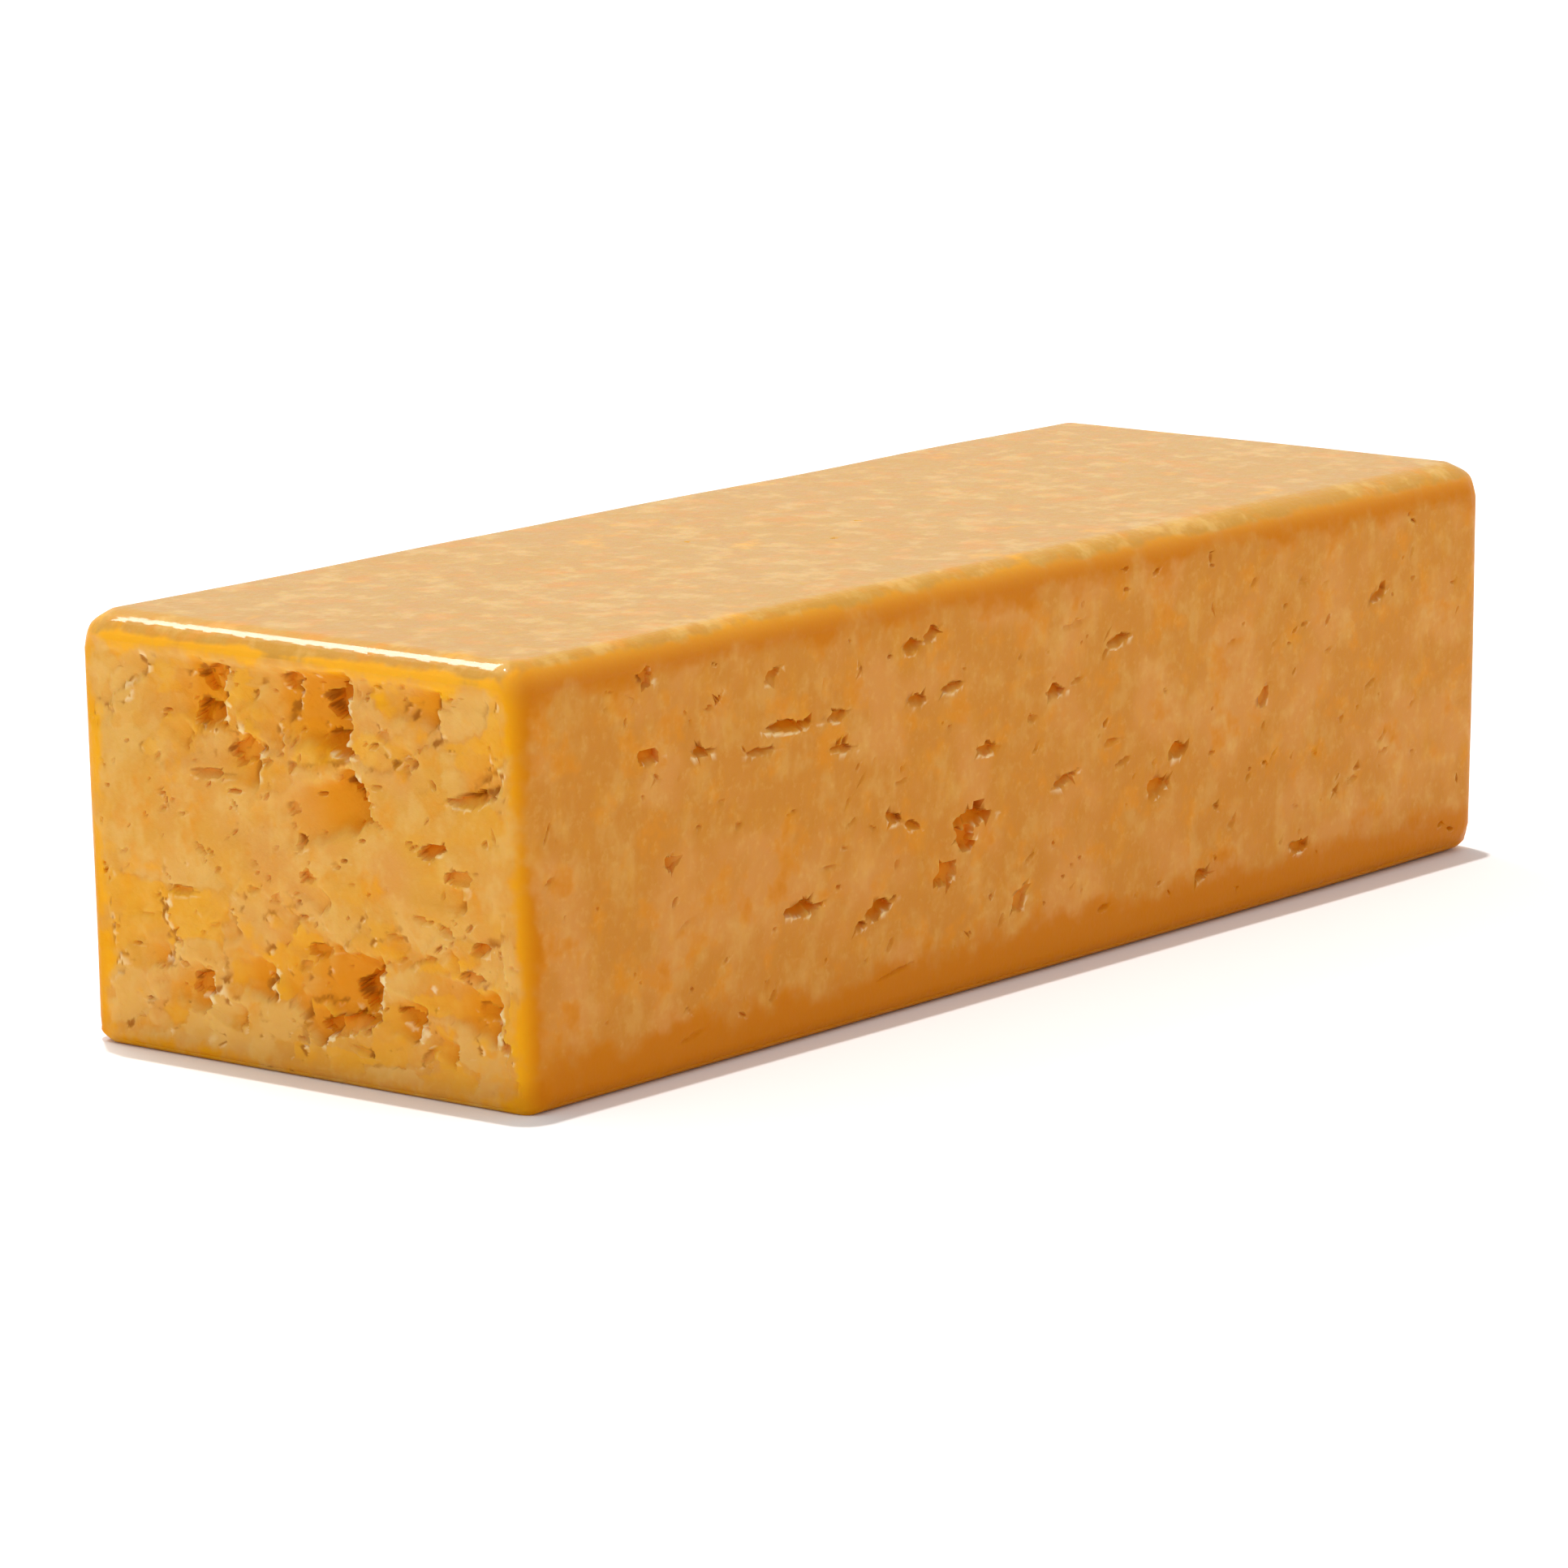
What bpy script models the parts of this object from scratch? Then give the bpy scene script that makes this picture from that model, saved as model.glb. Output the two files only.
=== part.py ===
"""A retail block of orange cheddar, lying on its broad side.

The block is one solid. Its long axis is X, its height is Z, and its origin is the centre of the
flat side that it rests on. The end at -X is a torn cut with deep crags. The other sides are smooth
cuts with the small openings that pressed curd leaves.
"""

import math
import random

import bmesh
import bpy
from mathutils import Euler, Matrix, Vector, noise

MM = 0.001

# Driving dimensions, in metres.
LENGTH = 0.1361
WIDTH = 0.0465
HEIGHT = 0.0350

# Both ends lean: their feet are set back from their heads.
NEAR_END_LEAN = math.radians(2.8)
FAR_END_LEAN = math.radians(0.8)

# The block narrows towards -X: how far the -Y side is set back there.
NARROWING_AT_TOP = 1.5 * MM
NARROWING_AT_FOOT = 0.6 * MM

# Radii of the rounded edges. Its own weight has pressed the lower edges nearly square. The top
# edge at -Y widens between two shares of the length, and the upright edge at -X and -Y towards
# its foot.
TOP_RADIUS = 2.7 * MM
FAR_FRONT_TOP_RADIUS = 3.6 * MM
FRONT_TOP_WIDENING = (0.35, 0.75)
NEAR_FOOT_RADIUS = 0.8 * MM
FOOT_RADIUS = 1.7 * MM
UPRIGHT_RADIUS = 2.8 * MM
NEAR_FRONT_FOOT_RADIUS = 4.0 * MM
WIDEST_RADIUS = 4.6 * MM
EDGE_SEGMENTS = 3

# Corners that are worn rounder, by the sides they lie on, how much is added to their level edges,
# and the share of that which their upright edges get.
WORN_CORNERS = {
    (-1, 1, 1): 1.9 * MM,
    (-1, 1, -1): 2.2 * MM,
    (1, -1, -1): 2.8 * MM,
}
WORN_REACH = 12 * MM
UPRIGHT_WEAR = 0.65

# Unevenness of the sides: its height and scale, for the smooth cuts and for the torn end, and how
# much of the noise is taken off so that the sides mostly sink.
SWELL = 0.14 * MM
SWELL_SCALE = 24 * MM
CRAG_SWELL = 0.30 * MM
CRAG_SWELL_SCALE = 8 * MM
SWELL_BIAS = 0.35
SWELL_PLACES = (7.3, 3.1, 1.7)

# The cage has two loops this far in from each edge, and others at about this spacing between.
EDGE_LOOPS = (4.7 * MM, 5.4 * MM)
CAGE_SPACING = 6.5 * MM
CRAG_CUTS = 6

# Places along the long side start this far from the -X corner and are stretched by this factor,
# and places across the torn end start this far from the +Y corner, in millimetres.
LONG_SIDE_START = 1.0
LONG_SIDE_STRETCH = 1.008
TORN_END_START = 0.8

# Tears in the end at -X. Each is a step with a sheer wall: the cheese slopes in towards the wall
# from its +Y side. The place of the wall's middle, from the +Y side and up, then its length,
# the reach of the slope and the depth are in millimetres, and its lean from upright in degrees.
TORN_END_STEPS = (
    (15.1, 29.6, 6.4, 4.2, 0.9, 4),
    (22.4, 30.4, 4.4, 3.0, 0.8, 12),
    (27.7, 29.4, 7.4, 4.6, 2.0, 2),
    (28.9, 23.2, 4.8, 4.4, 1.5, -22),
    (36.6, 30.8, 3.4, 4.4, 0.6, 10),
    (41.0, 24.6, 5.0, 2.2, 0.6, 74),
    (18.6, 24.6, 4.2, 3.0, 0.7, 10),
    (29.6, 7.4, 6.2, 5.6, 1.6, 10),
    (33.8, 5.4, 3.4, 3.2, 0.8, 20),
    (41.6, 7.0, 4.0, 4.4, 0.9, 14),
    (18.8, 7.4, 4.0, 3.2, 0.8, 0),
    (12.4, 5.8, 4.2, 3.0, 0.8, 8),
    (24.4, 3.4, 3.0, 6.0, 0.9, 50),
)
WALL_THICKNESS = 0.6
STEP_FADE = 1.4 * MM

# Openings in the long side at -Y that can be told apart: distance from the -X end, height, length,
# tallness and depth in millimetres, and tilt in degrees, rising to the right.
LONG_SIDE_OPENINGS = (
    (15.4, 32.0, 1.7, 2.0, 1.2, 75),
    (30.7, 29.9, 2.2, 1.0, 1.0, 25),
    (48.9, 29.8, 2.6, 1.5, 1.5, 10),
    (51.4, 30.4, 2.4, 1.2, 1.3, 20),
    (32.6, 25.6, 6.8, 1.1, 1.6, -3),
    (39.1, 25.5, 2.6, 1.0, 1.1, 8),
    (49.6, 25.3, 2.2, 1.0, 1.2, -4),
    (54.2, 25.7, 3.2, 0.9, 1.0, 6),
    (15.4, 25.7, 3.2, 1.8, 1.5, 5),
    (21.8, 25.1, 2.4, 1.1, 1.2, 0),
    (29.1, 24.1, 4.0, 0.8, 1.0, 0),
    (39.6, 22.8, 3.3, 0.8, 1.0, -5),
    (77.1, 26.4, 3.2, 1.1, 1.2, 8),
    (68.6, 23.4, 2.8, 1.4, 1.5, 0),
    (116.4, 25.1, 2.6, 1.1, 1.2, 20),
    (58.9, 20.0, 2.6, 1.3, 1.3, 0),
    (17.7, 17.1, 1.3, 1.9, 1.2, 80),
    (46.4, 16.2, 2.2, 1.1, 1.2, -24),
    (48.8, 15.2, 2.4, 0.8, 1.0, -14),
    (69.3, 15.7, 3.8, 1.0, 1.2, 16),
    (86.0, 15.9, 2.2, 1.8, 1.4, 0),
    (56.6, 14.5, 5.2, 1.7, 2.2, 3),
    (56.0, 12.9, 2.0, 3.0, 2.0, 78),
    (53.2, 10.5, 2.6, 2.4, 1.4, 40),
    (82.7, 13.2, 3.0, 1.9, 1.4, 5),
    (34.1, 10.7, 4.5, 1.5, 2.2, 2),
    (44.4, 9.1, 3.9, 1.6, 2.2, 14),
    (41.8, 8.0, 1.4, 0.9, 1.2, 0),
    (63.2, 6.8, 2.4, 2.0, 1.1, 50),
    (89.3, 4.6, 2.3, 1.2, 1.3, 0),
    (103.9, 4.8, 3.0, 1.3, 1.2, -8),
    (98.6, 18.6, 1.8, 1.6, 1.0, 60),
)

# The same for the torn end at -X, with the distance from its +Y side first.
TORN_END_OPENINGS = (
    (13.0, 27.9, 2.6, 2.4, 2.2, 20),
    (13.8, 30.6, 2.2, 2.8, 1.2, 80),
    (21.9, 31.4, 1.7, 1.9, 1.5, 0),
    (26.2, 29.7, 2.8, 3.4, 2.2, 70),
    (26.5, 26.7, 3.6, 1.6, 1.9, -10),
    (28.4, 23.4, 1.8, 3.6, 1.7, 65),
    (16.9, 25.3, 2.2, 3.6, 1.2, 84),
    (13.1, 23.2, 3.6, 0.9, 1.0, 0),
    (35.5, 19.7, 2.7, 1.6, 2.0, 8),
    (39.7, 24.1, 5.4, 1.2, 1.3, 8),
    (38.2, 17.9, 3.0, 1.6, 1.1, 12),
    (40.0, 12.6, 2.1, 1.3, 1.7, 10),
    (38.8, 10.0, 2.1, 1.3, 1.2, -5),
    (22.5, 18.6, 1.1, 1.3, 1.2, 0),
    (22.9, 16.2, 0.9, 1.8, 1.0, 88),
    (9.8, 13.4, 2.7, 0.9, 1.0, 0),
    (36.6, 13.5, 2.1, 0.9, 1.0, -35),
    (28.0, 7.3, 3.0, 2.8, 2.2, 60),
    (25.6, 4.6, 5.6, 1.9, 1.5, 10),
    (23.4, 10.3, 2.8, 1.1, 1.2, 0),
    (11.2, 6.0, 2.3, 2.1, 1.3, 40),
    (42.2, 5.2, 1.5, 1.2, 1.4, 0),
    (40.2, 7.4, 2.6, 1.4, 1.0, -10),
    (32.5, 6.0, 2.8, 1.6, 1.3, -15),
)

# Openings in the sides that the lists leave out, drawn by a rule: how many on each side.
SCATTER_SEED = 11
RAGGED_SEED = 5
SCATTERED = {"back": 24, "far_end": 14, "bottom": 8}
SCATTER_LENGTH = (1.4, 4.2)
SCATTER_ROUNDNESS = (0.28, 0.75)
SCATTER_TILT = 28.0
SCATTER_MARGIN = 3.6 * MM
SCATTER_GAP = 5 * MM
BARE_MIDDLE = 12 * MM
LEAST_TALLNESS = 0.9
SCATTER_DEPTH = (0.5, 0.35)
DEEPEST_SCATTER = 2.0

# Roughness of a cutter's outline, how it leans in degrees, how far its middle stands out of the
# side as a share of its depth, and the area in square millimetres from which it is finer.
RAGGED = (0.78, 1.20)
CUTTER_LEAN = (6, 16)
CUTTER_RISE = 0.12
LARGE_OPENING = 6.0

CHEDDAR_COLOUR = (0.66, 0.30, 0.055, 1.0)
CHEDDAR_ROUGHNESS = 0.34

HALF = Vector((LENGTH / 2, WIDTH / 2, HEIGHT / 2))

# Each side's outward normal, and the direction that is its right hand seen from outside.
SIDES = {
    "front": (Vector((0, -1, 0)), Vector((1, 0, 0))),
    "back": (Vector((0, 1, 0)), Vector((-1, 0, 0))),
    "near_end": (Vector((-1, 0, 0)), Vector((0, -1, 0))),
    "far_end": (Vector((1, 0, 0)), Vector((0, 1, 0))),
    "top": (Vector((0, 0, 1)), Vector((1, 0, 0))),
    "bottom": (Vector((0, 0, -1)), Vector((1, 0, 0))),
}


def clear_scene():
    for old in list(bpy.data.objects):
        bpy.data.objects.remove(old, do_unlink=True)


def new_collection(name):
    made = bpy.data.collections.new(name)
    bpy.context.scene.collection.children.link(made)
    return made


def cheddar_material():
    made = bpy.data.materials.new("cheddar")
    made.use_nodes = True
    shader = made.node_tree.nodes["Principled BSDF"]
    shader.inputs["Base Color"].default_value = CHEDDAR_COLOUR
    shader.inputs["Roughness"].default_value = CHEDDAR_ROUGHNESS
    shader.inputs["Metallic"].default_value = 0.0
    return made


def blend_evenly(low, high, share):
    return low + (high - low) * share


def blend(low, high, share):
    """From low to high, with a gentle start and end."""
    share = min(1.0, max(0.0, share))
    return blend_evenly(low, high, share * share * (3 - 2 * share))


def planes_of(point):
    """The box planes that a point of the plain block lies on, as (axis, sign)."""
    middle = Vector((0, 0, HALF.z))
    found = set()
    for axis in range(3):
        offset = (point - middle)[axis]
        if abs(abs(offset) - HALF[axis]) < 1e-6:
            found.add((axis, 1 if offset > 0 else -1))
    return found


def wear(middle):
    """How much rounder the worn corners make an edge at this place."""
    added = 0.0
    for signs, most in WORN_CORNERS.items():
        corner = Vector((0, 0, HALF.z)) + Vector(sign * half for sign, half in zip(signs, HALF))
        added += blend(0, most, 1 - (middle - corner).length / WORN_REACH)
    return added


def edge_radius(shared, middle):
    """The radius of the rounding on a box edge, which changes along it."""
    if (2, 1) not in shared and (2, -1) not in shared:
        foot = NEAR_FRONT_FOOT_RADIUS if shared == {(0, -1), (1, -1)} else UPRIGHT_RADIUS
        radius = blend(foot, UPRIGHT_RADIUS, middle.z / HEIGHT)
        return min(radius + UPRIGHT_WEAR * wear(middle), WIDEST_RADIUS)
    radius = TOP_RADIUS
    if shared == {(2, 1), (1, -1)}:
        along = (middle.x + HALF.x) / LENGTH
        start, end = FRONT_TOP_WIDENING
        radius = blend(TOP_RADIUS, FAR_FRONT_TOP_RADIUS, (along - start) / (end - start))
    elif (2, -1) in shared:
        radius = NEAR_FOOT_RADIUS if (0, -1) in shared else FOOT_RADIUS
    return min(radius + wear(middle), WIDEST_RADIUS)


def set_back(point, planes):
    """How far the leaning ends and the narrowing -Y side are set back from the plain block."""
    move = Vector((0, 0, 0))
    below_top = HEIGHT - point.z
    if (0, -1) in planes:
        move.x += math.tan(NEAR_END_LEAN) * below_top
    if (0, 1) in planes:
        move.x -= math.tan(FAR_END_LEAN) * below_top
    if (1, -1) in planes:
        narrowing = blend_evenly(NARROWING_AT_TOP, NARROWING_AT_FOOT, below_top / HEIGHT)
        move.y += narrowing * (HALF.x - point.x) / LENGTH
    return move


def uneven(point, planes):
    """How far a point of the plain block moves, to give the form of the real one."""
    move = set_back(point, planes)
    for axis, sign in planes:
        if (axis, sign) == (2, -1):
            continue
        torn = (axis, sign) == (0, -1)
        size = CRAG_SWELL if torn else SWELL
        scale = CRAG_SWELL_SCALE if torn else SWELL_SCALE
        by_axis, by_sign, by_height = SWELL_PLACES
        place = point / scale + Vector((by_axis * axis, by_sign * sign, by_height))
        move[axis] += sign * size * (noise.noise(place) - SWELL_BIAS)
    return move


def loop_offsets(half):
    """Where the cage's loops cross an axis, from the middle of a side of this half-length."""
    outer, inner = half - EDGE_LOOPS[0], half - EDGE_LOOPS[1]
    spaces = math.ceil(2 * inner / CAGE_SPACING)
    return [-outer, outer] + [-inner + 2 * inner * i / spaces for i in range(spaces + 1)]


def step_depth(across, height):
    """How deep the torn end lies at a place, in millimetres, from the nearest steps."""
    deepest = 0.0
    for middle, level, length, reach, depth, lean in TORN_END_STEPS:
        turn = math.radians(lean)
        right, up = across - middle, height - level
        along = right * math.sin(turn) + up * math.cos(turn)
        behind = up * math.sin(turn) - right * math.cos(turn)
        if abs(along) > length / 2 or behind < -WALL_THICKNESS:
            continue
        fade = 1 - (2 * along / length) ** 2
        slope = math.exp(-behind / reach) if behind > 0 else 1 + behind / WALL_THICKNESS
        deepest = max(deepest, depth * slope * math.sqrt(fade))
    return deepest


def end_margin(point):
    """How far a point of the -X end lies inside the loops round it, or less than 0 outside them."""
    across = HALF.y - abs(point.y)
    up = HALF.z - abs(point.z - HALF.z)
    return min(across, up) - EDGE_LOOPS[1]


def tear_near_end(bm):
    """Fine cells inside the loops round the -X end, and how far each is pressed in."""
    inner = set()
    for face in bm.faces:
        middle = face.calc_center_median()
        if (0, -1) in planes_of(middle) and end_margin(middle) > 0:
            inner.update(face.edges)
    bmesh.ops.subdivide_edges(bm, edges=list(inner), cuts=CRAG_CUTS, use_grid_fill=True)
    pressed = {}
    for vertex in bm.verts:
        margin = end_margin(vertex.co)
        if (0, -1) in planes_of(vertex.co) and margin > 0:
            across = (HALF.y - vertex.co.y) / MM - TORN_END_START
            depth = step_depth(across, vertex.co.z / MM)
            pressed[vertex] = depth * MM * min(1.0, margin / STEP_FADE)
    return pressed


def make_body(material):
    """The block before its openings are cut: a caged box, leaned and torn, with bevelled edges."""
    bm = bmesh.new()
    bmesh.ops.create_cube(bm, size=1.0)
    bmesh.ops.scale(bm, vec=(LENGTH, WIDTH, HEIGHT), verts=bm.verts)
    bmesh.ops.translate(bm, vec=(0, 0, HEIGHT / 2), verts=bm.verts)
    for axis in range(3):
        normal = Vector(float(i == axis) for i in range(3))
        for offset in loop_offsets(HALF[axis]):
            place = Vector((0, 0, HALF.z)) + normal * offset
            everything = bm.verts[:] + bm.edges[:] + bm.faces[:]
            bmesh.ops.bisect_plane(bm, geom=everything, plane_co=place, plane_no=normal)
    pressed = tear_near_end(bm)
    weight = bm.edges.layers.float.new("bevel_weight_edge")
    for edge in bm.edges:
        shared = planes_of(edge.verts[0].co) & planes_of(edge.verts[1].co)
        if len(shared) == 2:
            middle = (edge.verts[0].co + edge.verts[1].co) / 2
            edge[weight] = edge_radius(shared, middle) / WIDEST_RADIUS
    moves = {v: uneven(v.co, planes_of(v.co)) for v in bm.verts}
    for vertex, move in moves.items():
        vertex.co += move
        vertex.co.x += pressed.get(vertex, 0.0)
    bmesh.ops.recalc_face_normals(bm, faces=bm.faces)
    mesh = bpy.data.meshes.new("cheddar_block")
    bm.to_mesh(mesh)
    bm.free()
    mesh.materials.append(material)
    mesh.shade_smooth()
    body = bpy.data.objects.new("cheddar_block", mesh)
    bevel = body.modifiers.new("rounded_edges", "BEVEL")
    bevel.limit_method = "WEIGHT"
    bevel.offset_type = "OFFSET"
    bevel.width = WIDEST_RADIUS
    bevel.segments = EDGE_SEGMENTS
    return body


def place_on(side, right, up):
    """The frame of a point on a side: its right hand, its upward direction, its normal and itself."""
    normal, rightward = SIDES[side]
    upward = normal.cross(rightward)
    middle = Vector((0, 0, HALF.z)) + Vector(n * h for n, h in zip(normal, HALF))
    point = middle + rightward * right + upward * up
    axis = max(range(3), key=lambda i: abs(normal[i]))
    point += set_back(point, {(axis, int(normal[axis]))})
    turn = Matrix((rightward, upward, normal)).transposed().to_4x4()
    return Matrix.Translation(point) @ turn


def make_cutter(name, side, right, up, length, tallness, depth, tilt, rng):
    """A ragged lump that cuts one opening. Its sizes are in millimetres, its place in metres."""
    bm = bmesh.new()
    fineness = 2 if length * tallness > LARGE_OPENING else 1
    bmesh.ops.create_icosphere(bm, subdivisions=fineness, radius=1.0)
    for vertex in bm.verts:
        vertex.co *= rng.uniform(*RAGGED)
    half_sizes = Vector((length / 2, tallness / 2, depth)) * MM
    bmesh.ops.scale(bm, vec=half_sizes, verts=bm.verts)
    mesh = bpy.data.meshes.new(name)
    bm.to_mesh(mesh)
    bm.free()
    cutter = bpy.data.objects.new(name, mesh)
    turns = (0, math.radians(rng.uniform(*CUTTER_LEAN)), math.radians(tilt))
    turned = Euler(turns, "XYZ").to_matrix().to_4x4()
    rise = Matrix.Translation((0, 0, CUTTER_RISE * depth * MM))
    cutter.matrix_world = place_on(side, right, up) @ rise @ turned
    cutter.hide_render = True
    cutter.display_type = "WIRE"
    return cutter


def photographed_openings(rng):
    """Cutters for the openings listed above."""
    made = []
    for side, rows, half_width, start, stretch in (
        ("front", LONG_SIDE_OPENINGS, HALF.x, LONG_SIDE_START, LONG_SIDE_STRETCH),
        ("near_end", TORN_END_OPENINGS, HALF.y, TORN_END_START, 1.0),
    ):
        for number, (along, height, length, tallness, depth, tilt) in enumerate(rows):
            right = (start + along * stretch) * MM - half_width
            up = height * MM - HALF.z
            name = f"cutter_{side}_{number}"
            made.append(make_cutter(name, side, right, up, length, tallness, depth, tilt, rng))
    return made


def scattered_openings(rng):
    """Cutters for the sides that nothing above lists, kept apart and off the edges."""
    places = random.Random(SCATTER_SEED)
    made = []
    for side, count in SCATTERED.items():
        normal, rightward = SIDES[side]
        upward = normal.cross(rightward)
        half_right = abs(rightward.dot(HALF)) - SCATTER_MARGIN
        half_up = abs(upward.dot(HALF)) - SCATTER_MARGIN
        taken = []
        while len(taken) < count:
            right = places.uniform(-half_right, half_right)
            up = places.uniform(-half_up, half_up)
            crowded = any(math.hypot(right - r, up - u) < SCATTER_GAP for r, u in taken)
            if crowded or (side == "bottom" and math.hypot(right, up) < BARE_MIDDLE):
                continue
            taken.append((right, up))
            length = blend_evenly(*SCATTER_LENGTH, places.random() ** 2)
            tallness = max(LEAST_TALLNESS, length * places.uniform(*SCATTER_ROUNDNESS))
            least_depth, depth_share = SCATTER_DEPTH
            depth = min(DEEPEST_SCATTER, least_depth + depth_share * length)
            tilt = places.uniform(-SCATTER_TILT, SCATTER_TILT)
            name = f"cutter_{side}_{len(taken)}"
            made.append(make_cutter(name, side, right, up, length, tallness, depth, tilt, rng))
    return made


def main():
    clear_scene()
    parts = new_collection("cheddar_block")
    cutters = new_collection("opening_cutters")
    rng = random.Random(RAGGED_SEED)
    body = make_body(cheddar_material())
    parts.objects.link(body)
    for cutter in photographed_openings(rng) + scattered_openings(rng):
        cutters.objects.link(cutter)
    opened = body.modifiers.new("openings", "BOOLEAN")
    opened.operation = "DIFFERENCE"
    opened.operand_type = "COLLECTION"
    opened.collection = cutters
    opened.solver = "EXACT"


main()
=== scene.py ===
import math
import random
from collections import namedtuple

import bmesh
import bpy
import numpy as np
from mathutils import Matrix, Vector, noise


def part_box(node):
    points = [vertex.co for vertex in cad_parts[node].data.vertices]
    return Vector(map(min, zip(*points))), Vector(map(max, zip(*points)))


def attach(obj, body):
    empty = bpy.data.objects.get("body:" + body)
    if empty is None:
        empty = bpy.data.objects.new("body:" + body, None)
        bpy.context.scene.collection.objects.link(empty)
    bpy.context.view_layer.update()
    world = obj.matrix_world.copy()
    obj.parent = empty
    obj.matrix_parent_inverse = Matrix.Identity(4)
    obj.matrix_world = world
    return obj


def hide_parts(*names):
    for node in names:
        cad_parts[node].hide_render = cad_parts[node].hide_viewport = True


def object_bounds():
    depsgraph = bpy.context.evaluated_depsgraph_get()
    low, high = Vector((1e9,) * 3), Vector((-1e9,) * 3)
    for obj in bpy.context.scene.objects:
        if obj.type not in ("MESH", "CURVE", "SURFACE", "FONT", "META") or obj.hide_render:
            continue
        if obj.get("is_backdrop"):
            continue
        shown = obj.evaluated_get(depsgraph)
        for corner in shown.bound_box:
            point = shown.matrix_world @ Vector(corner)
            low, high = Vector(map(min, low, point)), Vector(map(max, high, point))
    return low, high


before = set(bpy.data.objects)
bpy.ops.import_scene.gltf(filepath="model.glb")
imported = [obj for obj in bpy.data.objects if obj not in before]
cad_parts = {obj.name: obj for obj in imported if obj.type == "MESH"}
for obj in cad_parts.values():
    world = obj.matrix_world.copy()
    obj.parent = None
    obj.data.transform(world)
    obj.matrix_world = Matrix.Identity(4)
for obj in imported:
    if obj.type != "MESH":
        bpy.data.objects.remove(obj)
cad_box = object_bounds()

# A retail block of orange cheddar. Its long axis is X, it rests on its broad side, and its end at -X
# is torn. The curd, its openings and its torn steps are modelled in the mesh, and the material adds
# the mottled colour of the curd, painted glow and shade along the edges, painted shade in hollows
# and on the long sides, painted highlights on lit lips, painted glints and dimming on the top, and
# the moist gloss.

MM = 0.001

# The block's size and middle, from the frame.
LOW, HIGH = (Vector(corner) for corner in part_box("cheddar_block"))
SIZE = HIGH - LOW
HALF = SIZE / 2
MIDDLE = (LOW + HIGH) / 2
LENGTH_MM, WIDTH_MM, HEIGHT_MM = (side / MM for side in SIZE)

# Each side's outward normal, and the direction that is its right hand seen from outside.
SIDES = {
    "front": (Vector((0, -1, 0)), Vector((1, 0, 0))),
    "back": (Vector((0, 1, 0)), Vector((-1, 0, 0))),
    "near_end": (Vector((-1, 0, 0)), Vector((0, -1, 0))),
    "far_end": (Vector((1, 0, 0)), Vector((0, 1, 0))),
    "top": (Vector((0, 0, 1)), Vector((1, 0, 0))),
    "bottom": (Vector((0, 0, -1)), Vector((1, 0, 0))),
}
NAMES = list(SIDES)
NORMALS = np.array([normal for normal, _ in SIDES.values()])
RIGHTWARD = np.array([rightward for _, rightward in SIDES.values()])
UPWARD = np.cross(NORMALS, RIGHTWARD)

# Both ends lean, and the -Y side narrows towards -X: how far it is set back there.
NEAR_END_LEAN = math.radians(2.8)
FAR_END_LEAN = math.radians(0.8)
NARROWING_AT_TOP = 1.5 * MM
NARROWING_AT_FOOT = 0.6 * MM

# Radii of the rounded edges. The top edge at -Y widens between two shares of the length, and the
# upright edge at -X and -Y towards its foot.
TOP_RADIUS = 2.7 * MM
FAR_FRONT_TOP_RADIUS = 3.6 * MM
FRONT_TOP_WIDENING = (0.35, 0.75)
NEAR_FOOT_RADIUS = 0.8 * MM
FOOT_RADIUS = 1.7 * MM
UPRIGHT_RADIUS = 2.8 * MM
NEAR_FRONT_FOOT_RADIUS = 4.0 * MM
WIDEST_RADIUS = 4.6 * MM
EDGE_SEGMENTS = 10
EDGE_LOOP = 4.7 * MM
CAGE_SPACING = 6.5 * MM

# Corners that are worn rounder, by the sides they lie on, how much is added to their level edges,
# and the share of that which their upright edges get.
WORN_CORNERS = {
    (-1, 1, 1): 1.9 * MM,
    (-1, 1, -1): 2.2 * MM,
    (1, -1, -1): 2.8 * MM,
}
WORN_REACH = 12 * MM
UPRIGHT_WEAR = 0.65

# How far the sides sink between their high spots.
SWELL = 0.22 * MM
SWELL_SCALE = 22 * MM

# Places along the long side start this far from the -X corner and are stretched by this factor,
# and places across the torn end start this far from the +Y corner, in millimetres.
LONG_SIDE_START = 1.0
LONG_SIDE_STRETCH = 1.008
TORN_END_START = 0.8

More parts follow.
